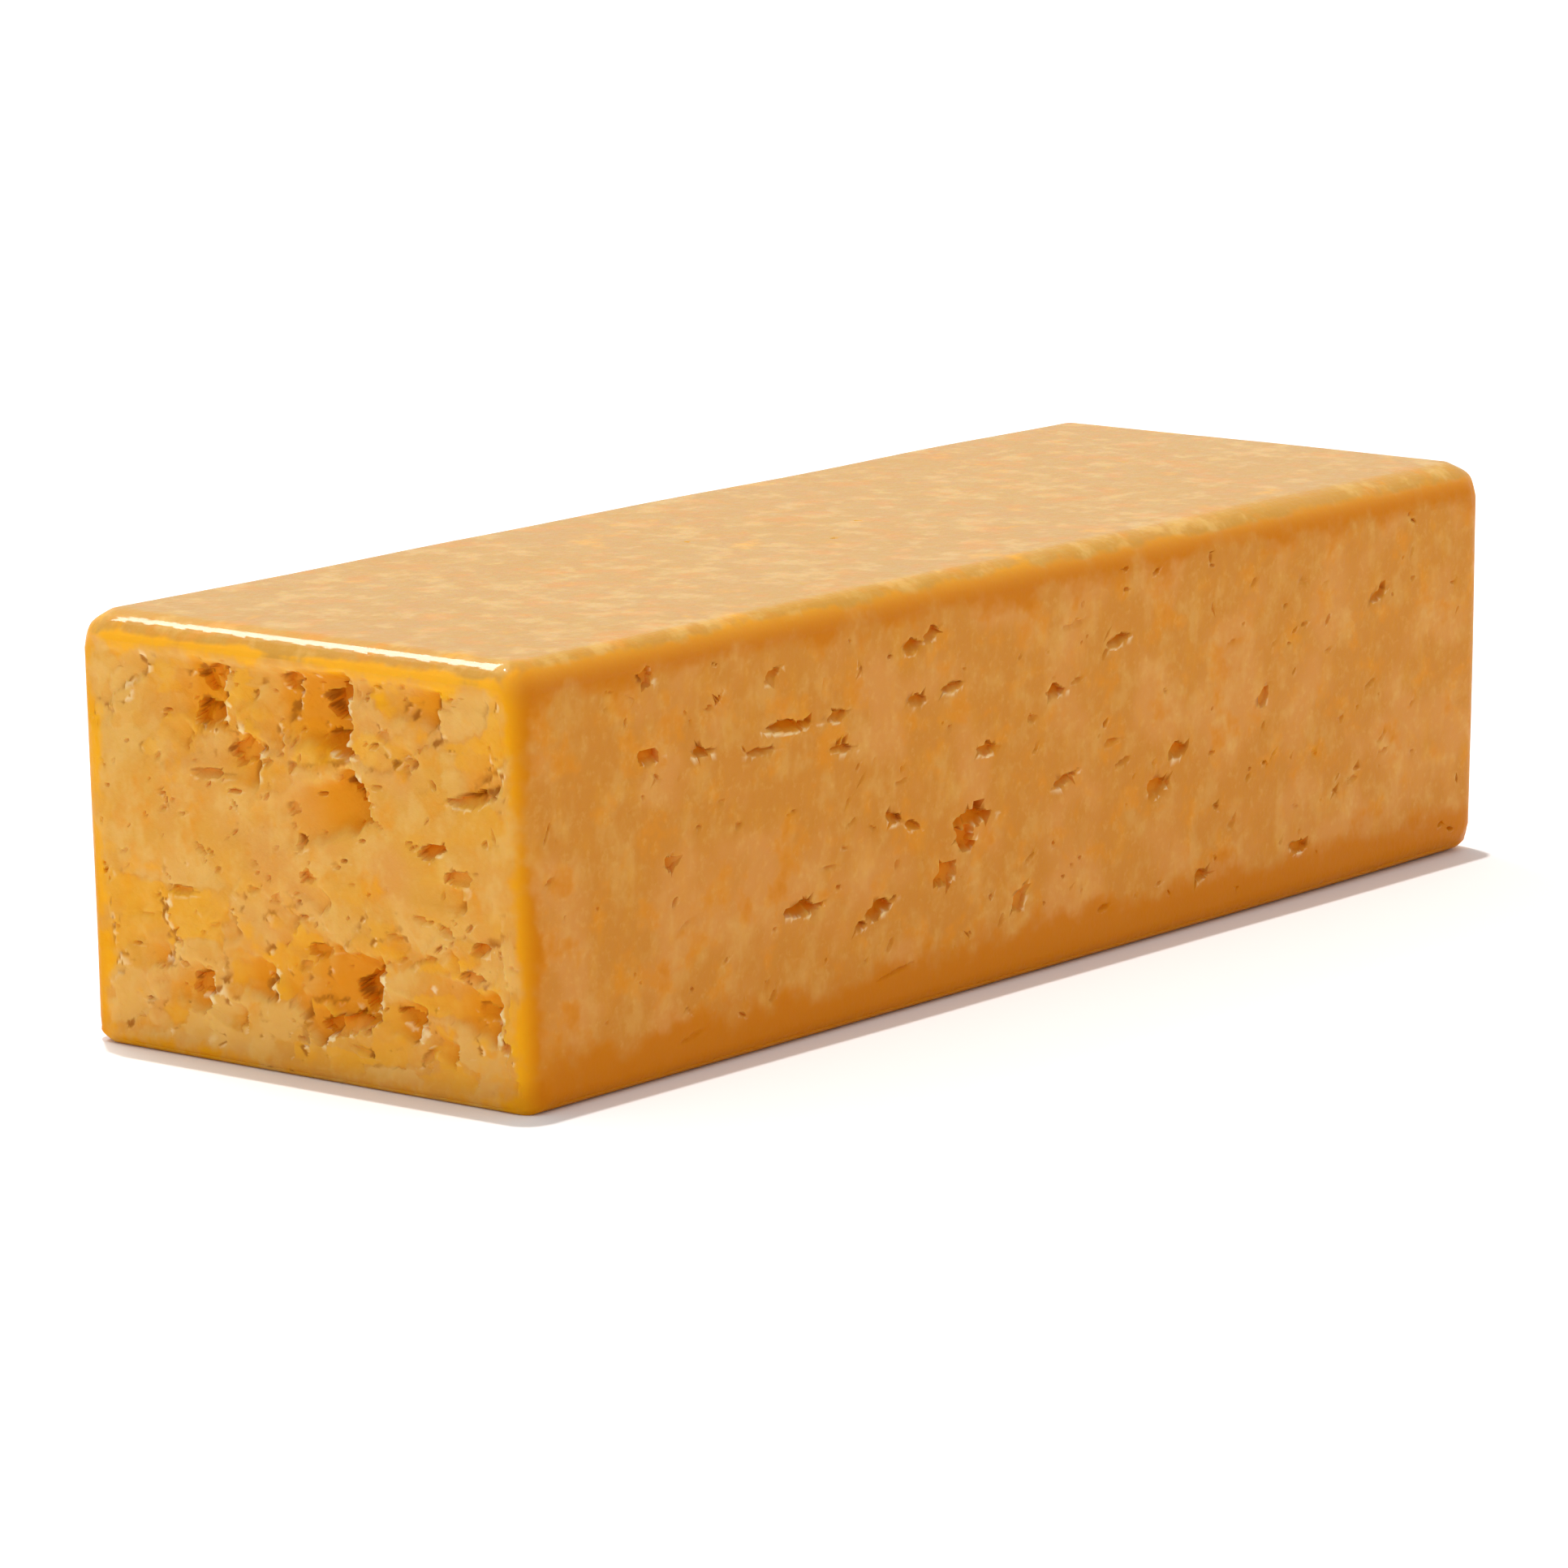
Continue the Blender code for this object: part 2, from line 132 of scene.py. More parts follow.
# Steps in the torn end: the wall's place from the +Y side and up, its length, the reach of the
# slope behind it and its depth in millimetres, and its lean from upright in degrees.
TORN_STEPS = (
    (15.1, 29.6, 6.4, 4.2, 0.9, 4),
    (22.4, 30.4, 4.4, 3.0, 0.8, 12),
    (27.7, 29.4, 7.4, 4.6, 2.0, 2),
    (28.9, 23.2, 4.8, 4.4, 1.5, -22),
    (36.6, 30.8, 3.4, 4.4, 0.6, 10),
    (41.0, 24.6, 5.0, 2.2, 0.6, 74),
    (18.6, 24.6, 4.2, 3.0, 0.7, 10),
    (29.6, 7.4, 6.2, 5.6, 1.6, 10),
    (33.8, 5.4, 3.4, 3.2, 0.8, 20),
    (41.6, 7.0, 4.0, 4.4, 0.9, 14),
    (18.8, 7.4, 4.0, 3.2, 0.8, 0),
    (12.4, 5.8, 4.2, 3.0, 0.8, 8),
    (24.4, 3.4, 3.0, 6.0, 0.9, 50),
    (34.0, 26.0, 2.0, 2.4, 0.4, 30),
    (11.2, 25.6, 2.2, 2.6, 0.35, 40),
    (20.8, 26.6, 2.6, 2.2, 0.45, -10),
    (38.6, 16.0, 2.4, 2.6, 0.45, 8),
    (24.6, 14.0, 2.2, 3.0, 0.35, 35),
    (15.2, 11.4, 2.8, 2.8, 0.4, -30),
    (21.4, 12.2, 2.0, 2.4, 0.35, 20),
    (8.0, 7.6, 2.6, 2.4, 0.4, 12),
    (37.4, 11.4, 2.4, 2.8, 0.4, -24),
    (33.4, 10.2, 2.6, 3.2, 0.4, 60),
    (15.8, 3.6, 2.4, 2.8, 0.5, 24),
    (37.2, 3.6, 2.0, 2.6, 0.45, 30),
)
STEP_WALL = 0.22

# Openings in the long side at -Y: distance from the -X end, height, length, tallness and depth in
# millimetres, and tilt in degrees, rising to the right.
LONG_SIDE_OPENINGS = (
    (15.4, 32.0, 1.7, 2.0, 1.2, 75),
    (30.7, 29.9, 2.2, 1.0, 1.0, 25),
    (48.9, 29.8, 2.6, 1.5, 1.5, 10),
    (51.4, 30.4, 2.4, 1.2, 1.3, 20),
    (32.6, 25.6, 6.8, 1.1, 1.6, -3),
    (39.1, 25.5, 2.6, 1.0, 1.1, 8),
    (49.6, 25.3, 2.2, 1.0, 1.2, -4),
    (54.2, 25.7, 3.2, 0.9, 1.0, 6),
    (15.4, 25.7, 3.2, 1.8, 1.5, 5),
    (21.8, 25.1, 2.4, 1.1, 1.2, 0),
    (29.1, 24.1, 4.0, 0.8, 1.0, 0),
    (39.6, 22.8, 3.3, 0.8, 1.0, -5),
    (77.1, 26.4, 3.2, 1.1, 1.2, 8),
    (68.6, 23.4, 2.8, 1.4, 1.5, 0),
    (116.4, 25.1, 2.6, 1.1, 1.2, 20),
    (58.9, 20.0, 2.6, 1.3, 1.3, 0),
    (17.7, 17.1, 1.3, 1.9, 1.2, 80),
    (46.4, 16.2, 2.2, 1.1, 1.2, -24),
    (48.8, 15.2, 2.4, 0.8, 1.0, -14),
    (69.3, 15.7, 3.8, 1.0, 1.2, 16),
    (86.0, 15.9, 2.2, 1.8, 1.4, 0),
    (56.6, 14.5, 5.2, 1.7, 2.2, 3),
    (56.0, 12.9, 2.0, 3.0, 2.0, 78),
    (53.2, 10.5, 2.6, 2.4, 1.4, 40),
    (82.7, 13.2, 3.0, 1.9, 1.4, 5),
    (34.1, 10.7, 4.5, 1.5, 2.2, 2),
    (44.4, 9.1, 3.9, 1.6, 2.2, 14),
    (41.8, 8.0, 1.4, 0.9, 1.2, 0),
    (63.2, 6.8, 2.4, 2.0, 1.1, 50),
    (89.3, 4.6, 2.3, 1.2, 1.3, 0),
    (103.9, 4.8, 3.0, 1.3, 1.2, -8),
    (98.6, 18.6, 1.8, 1.6, 1.0, 60),
)

# Nicks in the same side, as above. These are too fine for the solid.
LONG_SIDE_NICKS = (
    (23.0, 28.4, 1.3, 0.5, 0.5, 20),
    (71.6, 23.9, 2.4, 0.45, 0.5, 12),
    (71.1, 28.6, 4.0, 0.8, 0.35, 8),
    (91.1, 27.4, 1.0, 0.9, 0.5, 60),
    (65.1, 21.6, 1.6, 1.0, 0.6, 10),
    (26.3, 18.7, 1.0, 1.0, 0.5, 30),
    (47.5, 19.0, 2.5, 0.5, 0.4, 10),
    (76.4, 18.0, 3.5, 0.6, 0.5, 5),
    (77.9, 16.1, 2.6, 0.6, 0.6, 15),
    (46.8, 12.4, 1.1, 0.7, 0.5, 60),
    (19.6, 12.0, 3.9, 0.45, 0.3, 22),
    (37.9, 13.5, 3.6, 0.4, 0.4, 5),
    (64.6, 10.0, 2.1, 0.5, 0.5, 24),
    (60.7, 5.4, 1.2, 0.7, 0.5, 50),
    (75.0, 4.1, 2.1, 0.6, 0.5, 10),
    (103.6, 8.4, 1.4, 0.5, 0.5, 0),
    (93.9, 8.4, 2.0, 0.8, 0.5, 20),
    (117.0, 12.4, 1.6, 0.6, 0.5, 30),
    (117.4, 11.2, 1.6, 0.5, 0.5, 10),
    (110.6, 15.0, 1.1, 0.6, 0.5, 40),
    (115.1, 17.5, 2.1, 0.6, 0.5, 20),
    (30.4, 4.5, 1.7, 0.7, 0.5, 60),
    (20.0, 3.0, 4.3, 0.6, 0.3, 12),
    (45.7, 5.9, 1.6, 0.7, 0.5, 50),
    (46.4, 3.6, 6.5, 0.45, 0.35, 8),
    (2.9, 21.6, 2.4, 0.45, 0.5, 58),
    (3.1, 17.9, 1.8, 0.6, 0.5, 24),
    (14.0, 30.2, 5.2, 0.35, 0.18, -32),
    (10.8, 31.4, 1.2, 0.3, 0.3, -8),
    (10.2, 30.2, 0.8, 0.3, 0.3, -20),
    (16.2, 24.0, 1.8, 0.5, 0.5, -30),
    (19.0, 23.6, 0.7, 0.5, 0.4, 70),
    (37.4, 28.5, 1.2, 0.4, 0.3, 80),
    (43.8, 21.2, 1.0, 0.6, 0.3, 60),
    (24.2, 20.9, 1.5, 0.35, 0.3, -10),
    (33.0, 18.6, 2.0, 0.35, 0.4, 12),
    (40.8, 16.6, 2.6, 0.35, 0.4, 25),
    (43.6, 15.8, 1.8, 0.35, 0.4, -30),
    (13.2, 21.8, 0.9, 0.4, 0.3, 30),
    (63.6, 26.9, 1.3, 0.35, 0.4, 55),
    (93.8, 24.0, 1.8, 0.4, 0.3, 10),
    (97.2, 28.8, 1.3, 0.7, 0.5, 40),
    (104.6, 27.8, 2.2, 0.4, 0.4, 0),
    (108.2, 27.4, 1.2, 0.6, 0.4, 10),
    (121.6, 28.4, 1.4, 0.6, 0.4, 60),
    (100.4, 23.2, 1.2, 0.4, 0.3, 10),
    (108.6, 21.4, 1.3, 0.6, 0.5, 20),
    (121.8, 14.8, 1.6, 0.5, 0.4, 30),
    (112.4, 9.4, 1.6, 0.8, 0.5, 10),
    (106.4, 12.6, 1.4, 0.7, 0.4, -20),
    (96.4, 12.0, 1.2, 0.5, 0.4, 30),
)

# The same for the torn end at -X, with the distance from its +Y side first.
TORN_END_OPENINGS = (
    (13.0, 27.9, 2.6, 2.4, 2.2, 20),
    (13.8, 30.6, 2.2, 2.8, 1.2, 80),
    (21.9, 31.4, 1.7, 1.9, 1.5, 0),
    (26.2, 29.7, 2.8, 3.4, 2.2, 70),
    (26.5, 26.7, 3.6, 1.6, 1.9, -10),
    (28.4, 23.4, 1.8, 3.6, 1.7, 65),
    (16.9, 25.3, 2.2, 3.6, 1.2, 84),
    (13.1, 23.2, 3.6, 0.9, 1.0, 0),
    (35.5, 19.7, 2.7, 1.6, 2.0, 8),
    (39.7, 24.1, 5.4, 1.2, 1.3, 8),
    (38.2, 17.9, 3.0, 1.6, 1.1, 12),
    (40.0, 12.6, 2.1, 1.3, 1.7, 10),
    (38.8, 10.0, 2.1, 1.3, 1.2, -5),
    (22.5, 18.6, 1.1, 1.3, 1.2, 0),
    (22.9, 16.2, 0.9, 1.8, 1.0, 88),
    (9.8, 13.4, 2.7, 0.9, 1.0, 0),
    (36.6, 13.5, 2.1, 0.9, 1.0, -35),
    (28.0, 7.3, 3.0, 2.8, 2.2, 60),
    (25.6, 4.6, 5.6, 1.9, 1.5, 10),
    (23.4, 10.3, 2.8, 1.1, 1.2, 0),
    (11.2, 6.0, 2.3, 2.1, 1.3, 40),
    (42.2, 5.2, 1.5, 1.2, 1.4, 0),
    (40.2, 7.4, 2.6, 1.4, 1.0, -10),
    (32.5, 6.0, 2.8, 1.6, 1.3, -15),
)
TORN_END_NICKS = (
    (31.0, 28.3, 1.5, 1.2, 0.8, 30),
    (19.4, 24.8, 1.2, 0.8, 0.7, 10),
    (21.9, 24.7, 1.3, 1.0, 0.8, 40),
    (8.3, 19.9, 1.2, 0.6, 0.6, 20),
    (21.8, 21.4, 0.9, 1.4, 0.7, 85),
    (21.6, 20.0, 0.8, 1.0, 0.7, 70),
    (12.0, 17.0, 2.0, 0.7, 0.7, -35),
    (17.6, 16.6, 1.2, 0.5, 0.6, -30),
    (18.9, 15.6, 1.0, 0.5, 0.6, -60),
    (19.6, 13.8, 0.7, 1.2, 0.6, 80),
    (17.2, 14.4, 1.6, 0.8, 0.7, 10),
    (26.0, 17.6, 0.8, 0.4, 0.5, -20),
    (27.5, 16.1, 0.6, 0.5, 0.5, 0),
    (31.0, 16.2, 0.5, 0.4, 0.4, 0),
    (34.2, 14.2, 1.5, 0.7, 0.8, -10),
    (31.3, 12.4, 2.2, 0.6, 0.6, -8),
    (34.8, 11.0, 1.6, 0.6, 0.6, 12),
    (5.9, 11.1, 4.3, 0.4, 0.5, 8),
    (12.8, 11.0, 1.8, 0.5, 0.6, 14),
    (4.6, 29.6, 1.0, 0.4, 0.4, -10),
    (8.0, 24.0, 0.9, 0.6, 0.6, 40),
    (30.3, 21.2, 2.4, 0.5, 0.6, -30),
    (33.6, 26.4, 2.2, 0.5, 0.6, -28),
    (42.0, 21.6, 1.4, 0.5, 0.6, -60),
    (40.9, 20.8, 0.9, 0.9, 0.8, 60),
    (43.6, 11.4, 1.2, 0.5, 0.6, -20),
    (27.6, 3.0, 3.0, 0.7, 0.7, -14),
    (22.0, 8.8, 1.6, 0.8, 0.7, 30),
    (20.6, 5.8, 1.4, 0.7, 0.7, 70),
    (34.4, 3.4, 1.8, 0.9, 0.8, 40),
    (9.4, 9.2, 2.4, 0.4, 0.4, -62),
)

# Openings on the sides that the lists leave out, drawn by a rule: how many on each side.
SCATTER_SEED = 11
SCATTERED = {"back": 24, "far_end": 14, "bottom": 8}
SCATTER_LENGTH = (1.4, 4.2)
SCATTER_ROUNDNESS = (0.28, 0.75)
SCATTER_TILT = 28.0
SCATTER_LEAST_HEIGHT = 0.9
SCATTER_DEPTH = (0.5, 0.35)
SCATTER_DEEPEST = 2.0
SCATTER_MARGIN = 3.6
SCATTER_GAP = 5.0
BARE_MIDDLE = 12.0

# Pinpricks and hairline nicks, on every side.
PRICK_SEED = 23
PRICKS = {"front": 120, "back": 80, "near_end": 170, "far_end": 60, "top": 6, "bottom": 20}
PRICK_LENGTH = (0.35, 1.3)
PRICK_HEIGHT = (0.22, 0.42)
PRICK_TILT = (8, 35)
PRICK_DEPTH = (0.2, 0.25)
PRICK_MARGIN = 2.5

# An opening's outline: the powers that shape its lens, then its tail's thickness, place and reach.
LENS_POWERS = (1.7, 0.75)
TAIL_THICKNESS = 0.3
TAIL = (0.7, 0.9)

# How far past an opening its relief is worked out: a share of its half size, and millimetres.
OPENING_REACH = (1.7, 0.6)

# How wide the slope of an opening's wall is, its floor's depth at mid height and how much that
# changes up its height, within these levels, and from how deep its borders show in full.
OPENING_WALL = 0.26
OPENING_FLOOR = (0.68, 0.32)
FLOOR_LEVELS = (-1.2, 1.2)
DEEP_OPENING = 0.8

# An opening's lip, a painted highlight, lies along its foot and its dark wall, painted shade, along
# its head: how strong each is at mid height, and how fast that changes up or down. Then the lip's
# full strength.
LIP_ONSET = (0.35, 0.8)
SHADE_ONSET = (0.45, 0.8)
LIP_STRENGTH = 0.75

# Where the painted highlight of the lit lip and the painted shade of the dark wall of openings and
# of steps lie, and how far they fade, in millimetres inwards from the border.
OPENING_LIP = (-0.13, 0.17)
OPENING_SHADE = (0.08, 0.24)
STEP_LIP = (-0.22, 0.24)
STEP_SHADE = (0.16, 0.34)

# Steps: from how deep their borders show in full, the size, height and seed of the waves at their
# walls' ends, how abruptly those end, and how many reaches behind the wall the slope ends.
DEEP_STEP = 0.9
STEP_WAVES = (1.6, 0.25, 51)
STEP_ENDS = 1.35
STEP_SLOPE_END = 4
STEP_FRONT = -2

# The curd tears along chips of about this size in millimetres, which are bent over two lengths, so
# far to the right and up. Outlines of openings are pulled to them by this share, and openings
# flatter than the last value less.
CHIP = (0.80, 0.55)
CHIP_SEED = 7
CHIP_BENDS = ((2.0, 0.32, 0.28, 3), (0.7, 0.16, 0.14, 4))
CHIP_BLUR = 0.22
HOLD = 0.75
FINEST_CHIPPED = 0.7

# Tilted plates of curd: their sizes in millimetres, seeds and shares of the relief, how far the
# relief sinks on each side at most, how much plates fall to their right and their foot, and how
# wide the blur between two plates and their marked borders are.
PLATES = (((5.0, 3.6), 41, 0.62), ((2.1, 1.5), 42, 0.38))
PLATE_SINK = {
    "near_end": 0.62,
    "far_end": 0.3,
    "front": 0.05,
    "back": 0.05,
    "top": 0.03,
    "bottom": 0.03,
}
PLATE_FALL = (0.85, 0.3)
PLATE_BLUR = 0.08
PLATE_BORDER = 0.2

# The drops between two plates from which the lip's painted highlight and the painted shade set in
# and over which they grow, and how strong both are.
LIP_DROP = (0.1, 0.4)
SHADE_DROP = (0.1, 0.25)
PLATE_LIP = 0.8
PLATE_SHADE = 0.9

# The torn end has a calmer belt across it: its height from the middle, its half height, how far it
# fades and how much calmer it is. Patches of a size in millimetres are more and less torn, down to
# a least share, and the far end is evenly torn.
CALM_LEVEL = 1.5
CALM_REACH = 2.5
CALM_FADE = 5.0
CALMING = 0.8
PATCH = (6, 5)
PATCH_SEED = 31
PATCHINESS = 0.45
LEAST_TORN = 0.12
FAR_END_TORN = 0.35

# Stretches where the borders of plates stand open: their size in millimetres and their seed.
OPEN_STRETCH = 2.6
OPEN_SEED = 61

# How far in from a side's foot, top and flanks its relief starts, and over how far it grows in
# from the foot and from the rest.
EDGE_MARGINS = {"near_end": (0.5, 1.9, 1.0)}
PLAIN_MARGINS = (1.0, 1.0, 1.0)
FOOT_GROWTH = 1.4
RELIEF_GROWTH = 1.6

# Painted glow and shade along the edges: deeper orange stands in for light carried through the curd
# to the edges, and for shade along the foot. The two sides that meet, how far the band reaches over
# each in millimetres, and its strength.
PAINTED_EDGE_BANDS = (
    ("near_end", "back", 4.6, 4.0, 1.0),
    ("near_end", "front", 3.0, 3.8, 0.85),
    ("near_end", "top", 4.2, 0.8, 1.0),
    ("near_end", "bottom", 2.0, 4.0, 0.45),
    ("front", "top", 5.6, 1.6, 0.95),
    ("front", "bottom", 7.5, 4.0, 1.0),
    ("front", "far_end", 3.2, 3.0, 0.85),
    ("back", "top", 4.4, 1.6, 0.75),
    ("back", "bottom", 7.0, 4.0, 1.0),
    ("back", "far_end", 3.0, 3.0, 0.85),
    ("far_end", "top", 4.2, 1.0, 0.9),
    ("far_end", "bottom", 5.0, 4.0, 0.9),
)

# What the material reads at each place of the surface, each from 0 to 1.
MARKS = ("pit", "sunk", "lip_highlight", "shade", "tone", "torn", "edge_glow_and_shade", "side_shade", "polish")

# The depths in millimetres at which openings and steps have their full mark of painted shade, and
# at which the lit lip is gone. Plates that sink further than the last share count as sunk.
FULL_PIT = 1.1
FULL_STEP = 1.3
LIP_GONE = 0.5
LOW_PLATE = 0.45

# The lists give plain hollows. Ragged walls look taller and deeper, so they get these shares.
TALLNESS = {"front": 0.85, "near_end": 0.95}
SHALLOWER = {"front": 0.7, "near_end": 0.55}

# Large odd numbers that mix a pair of whole numbers and a seed, and what a seed grows by for the
# second half of a centre's place, for how far a plate sinks and for its tone.
DRAW_FACTORS = (374761393, 668265263, 362437, 1274126177)
PLACE_SEED = 500
SINK_SEED = 900
TONE_SEED = 1300

# What smooth noise is raised by, so that it reaches from about -1 to 1.
RIPPLE_HEIGHT = 1.5

# Where the centres of chips and plates lie in their squares: the least place and the spread.
CENTRE_SPREAD = (0.1, 0.8)

Opening = namedtuple("Opening", "right up half_length half_height depth cos sin")
Cell = namedtuple("Cell", "x y distance i j")


def smooth(share):
    """A gentle step from 0 to 1 as share goes from 0 to 1."""
    share = np.clip(share, 0.0, 1.0)
    return share * share * (3 - 2 * share)


def blend(low, high, share):
    """From low to high, gently, as share goes from 0 to 1."""
    return float(low + (high - low) * smooth(share))


def peak(value, middle, reach):
    """From 1 where the value is at the middle down to 0 at this reach from it."""
    return np.clip(1 - abs(value - middle) / reach, 0, 1)


def draw(i, j, seed):
    """A repeatable number from 0 to 1 for each pair of whole numbers."""
    i, j = np.asarray(i, dtype=np.int64), np.asarray(j, dtype=np.int64)
    mixed = (i * DRAW_FACTORS[0] + j * DRAW_FACTORS[1] + seed * DRAW_FACTORS[2]) & 0xFFFFFFFF
    mixed = ((mixed ^ (mixed >> 13)) * DRAW_FACTORS[3]) & 0xFFFFFFFF
    return ((mixed ^ (mixed >> 16)) & 0xFFFF) / 0xFFFF


def ripple(x, y, seed):
    """Smooth noise from about -1 to 1 that changes over about one unit."""
    i, j = np.floor(x), np.floor(y)
    total = np.zeros_like(x)
    for di in (0, 1):
        for dj in (0, 1):
            turn = 2 * math.pi * draw(i + di, j + dj, seed)
            u, v = x - i - di, y - j - dj
            slope = np.cos(turn) * u + np.sin(turn) * v
            total += slope * smooth(1 - abs(u)) * smooth(1 - abs(v))
    return RIPPLE_HEIGHT * total


def cells(x, y, seed):
    """The two scattered centres that are nearest to each place."""
    i, j = np.floor(x), np.floor(y)
    shifts = [(di, dj) for di in (-1, 0, 1) for dj in (-1, 0, 1)]
    rows = np.array([i + di for di, _ in shifts]), np.array([j + dj for _, dj in shifts])
    least, spread = CENTRE_SPREAD
    centre_x = rows[0] + least + spread * draw(*rows, seed)
    centre_y = rows[1] + least + spread * draw(*rows, seed + PLACE_SEED)
    distance = np.hypot(centre_x - x, centre_y - y)
    found = []
    places = np.arange(len(x))
    for _ in range(2):
        pick = distance.argmin(axis=0), places
        columns = (centre_x, centre_y, distance, *rows)
        found.append(Cell(*(column[pick] for column in columns)))
        distance[pick] = np.inf
    return found


def opening(right, up, length, tallness, depth, tilt):
    """An opening by its place on a side and its sizes, all in millimetres, and its tilt."""
    turn = math.radians(tilt)
    return Opening(right, up, length / 2, tallness / 2, depth, math.cos(turn), math.sin(turn))


def side_halves(side):
    """Half of a side's width and height in millimetres."""
    number = NAMES.index(side)
    half = np.array(HALF)
    return tuple(float(abs(way[number] @ half) / MM) for way in (RIGHTWARD, UPWARD))


def listed_openings():
    """The openings and nicks of the long side and the torn end."""
    long_side = LONG_SIDE_OPENINGS + LONG_SIDE_NICKS
    torn_end = TORN_END_OPENINGS + TORN_END_NICKS
    for side, rows, width, start, stretch in (
        ("front", long_side, LENGTH_MM, LONG_SIDE_START, LONG_SIDE_STRETCH),
        ("near_end", torn_end, WIDTH_MM, TORN_END_START, 1.0),
    ):
        for along, height, length, tallness, depth, tilt in rows:
            place = start + along * stretch - width / 2, height - HEIGHT_MM / 2
            sizes = length, TALLNESS[side] * tallness, depth * SHALLOWER[side]
            yield side, opening(*place, *sizes, tilt)


def between(ends, share):
    """The value at this share of the way between two ends."""
    return ends[0] + (ends[1] - ends[0]) * share


def any_place(places, half_right, half_up):
    """A drawn place on a side."""
    return places.uniform(-half_right, half_right), places.uniform(-half_up, half_up)


def scattered_openings():
    """The openings of the sides that the lists leave out, apart from each other."""
    places = random.Random(SCATTER_SEED)
    for side, count in SCATTERED.items():
        half_right, half_up = (half - SCATTER_MARGIN for half in side_halves(side))
        taken = []
        while len(taken) < count:
            right, up = any_place(places, half_right, half_up)
            crowded = any(math.hypot(right - r, up - u) < SCATTER_GAP for r, u in taken)
            if crowded or (side == "bottom" and math.hypot(right, up) < BARE_MIDDLE):
                continue
            taken.append((right, up))
            length = between(SCATTER_LENGTH, places.random() ** 2)
            tallness = max(SCATTER_LEAST_HEIGHT, length * places.uniform(*SCATTER_ROUNDNESS))
            depth = min(SCATTER_DEEPEST, SCATTER_DEPTH[0] + SCATTER_DEPTH[1] * length)
            tilt = places.uniform(-SCATTER_TILT, SCATTER_TILT)
            yield side, opening(right, up, length, tallness, depth, tilt)


def pricks():
    """The pinpricks and hairline nicks of every side."""
    places = random.Random(PRICK_SEED)
    for side, count in PRICKS.items():
        half_right, half_up = (half - PRICK_MARGIN for half in side_halves(side))
        for _ in range(count):
            right, up = any_place(places, half_right, half_up)
            length = between(PRICK_LENGTH, places.random() ** 2)
            tallness = places.uniform(*PRICK_HEIGHT)
            depth = PRICK_DEPTH[0] + PRICK_DEPTH[1] * length
            tilt = places.gauss(*PRICK_TILT)
            yield side, opening(right, up, length, tallness, depth, tilt)


OPENINGS = {name: [] for name in NAMES}
for side_name, found_opening in (*listed_openings(), *scattered_openings(), *pricks()):
    OPENINGS[side_name].append(found_opening)


def on_sides(points):
    """The number of the side that each point lies on, and its place there in millimetres."""
    offset = (points - np.array(MIDDLE)) / MM
    gaps = NORMALS @ (np.array(HALF) / MM) * np.sign(NORMALS.sum(axis=1)) - offset @ NORMALS.T
    side = gaps.argmin(axis=1)
    right = (offset * RIGHTWARD[side]).sum(axis=1)
    up = (offset * UPWARD[side]).sum(axis=1)
    return side, right, up, gaps


def share_kept(name, right, up):
    """How much of a side's relief is left near its edges, 0 to 1."""
    foot, head, flank = EDGE_MARGINS.get(name, PLAIN_MARGINS)
    half_right, half_up = side_halves(name)
    return (
        smooth((half_right - abs(right) - flank) / RELIEF_GROWTH)
        * smooth((half_up - up - head) / RELIEF_GROWTH)
        * smooth((half_up + up - foot) / FOOT_GROWTH)
    )


def tornness(name, right, up):
    """How torn a side is at each place, 0 to 1."""
    if name != "near_end":
        return np.full_like(right, FAR_END_TORN if name == "far_end" else 0.0)
    calm = 1 - smooth((abs(up - CALM_LEVEL) - CALM_REACH) / CALM_FADE)
    patches = ripple(right / PATCH[0], up / PATCH[1], PATCH_SEED)
    return np.clip(1 - CALMING * calm + PATCHINESS * patches, LEAST_TORN, 1.0)


def chip_places(right, up):
    """Each place as its two nearest chips of curd pull it, with the share of each."""
    bent_right, bent_up = right, up
    for length, rightward, upward, seed in CHIP_BENDS:
        bent_right = bent_right + rightward * ripple(right / length, up / length, seed)
        bent_up = bent_up + upward * ripple(right / length, up / length, seed + 2)
    chips = cells(bent_right / CHIP[0], bent_up / CHIP[1], CHIP_SEED)
    share = smooth((chips[1].distance - chips[0].distance) / CHIP_BLUR) / 2 + 0.5
    return [
        (part, right + HOLD * (chip.x * CHIP[0] - right), up + HOLD * (chip.y * CHIP[1] - up))
        for part, chip in zip((share, 1 - share), chips)
    ]


def outline(found, right, up):
    """How far inside an opening's outline places are, in millimetres, and how high across it.

    The outline is a lens with a thin tail."""
    right, up = right - found.right, up - found.up
    along = (right * found.cos + up * found.sin) / found.half_length
    across = (up * found.cos - right * found.sin) / found.half_height
    lens = np.clip(1 - abs(along) ** LENS_POWERS[0], 0, 1) ** LENS_POWERS[1]
    tail = TAIL_THICKNESS * peak(along, *TAIL)
    beyond = np.clip(abs(along) - 1, 0, None) * found.half_length
    inside = (np.maximum(lens, tail) - abs(across)) * found.half_height
    return np.where(tail > 0, inside, inside - 0.5 * beyond), across


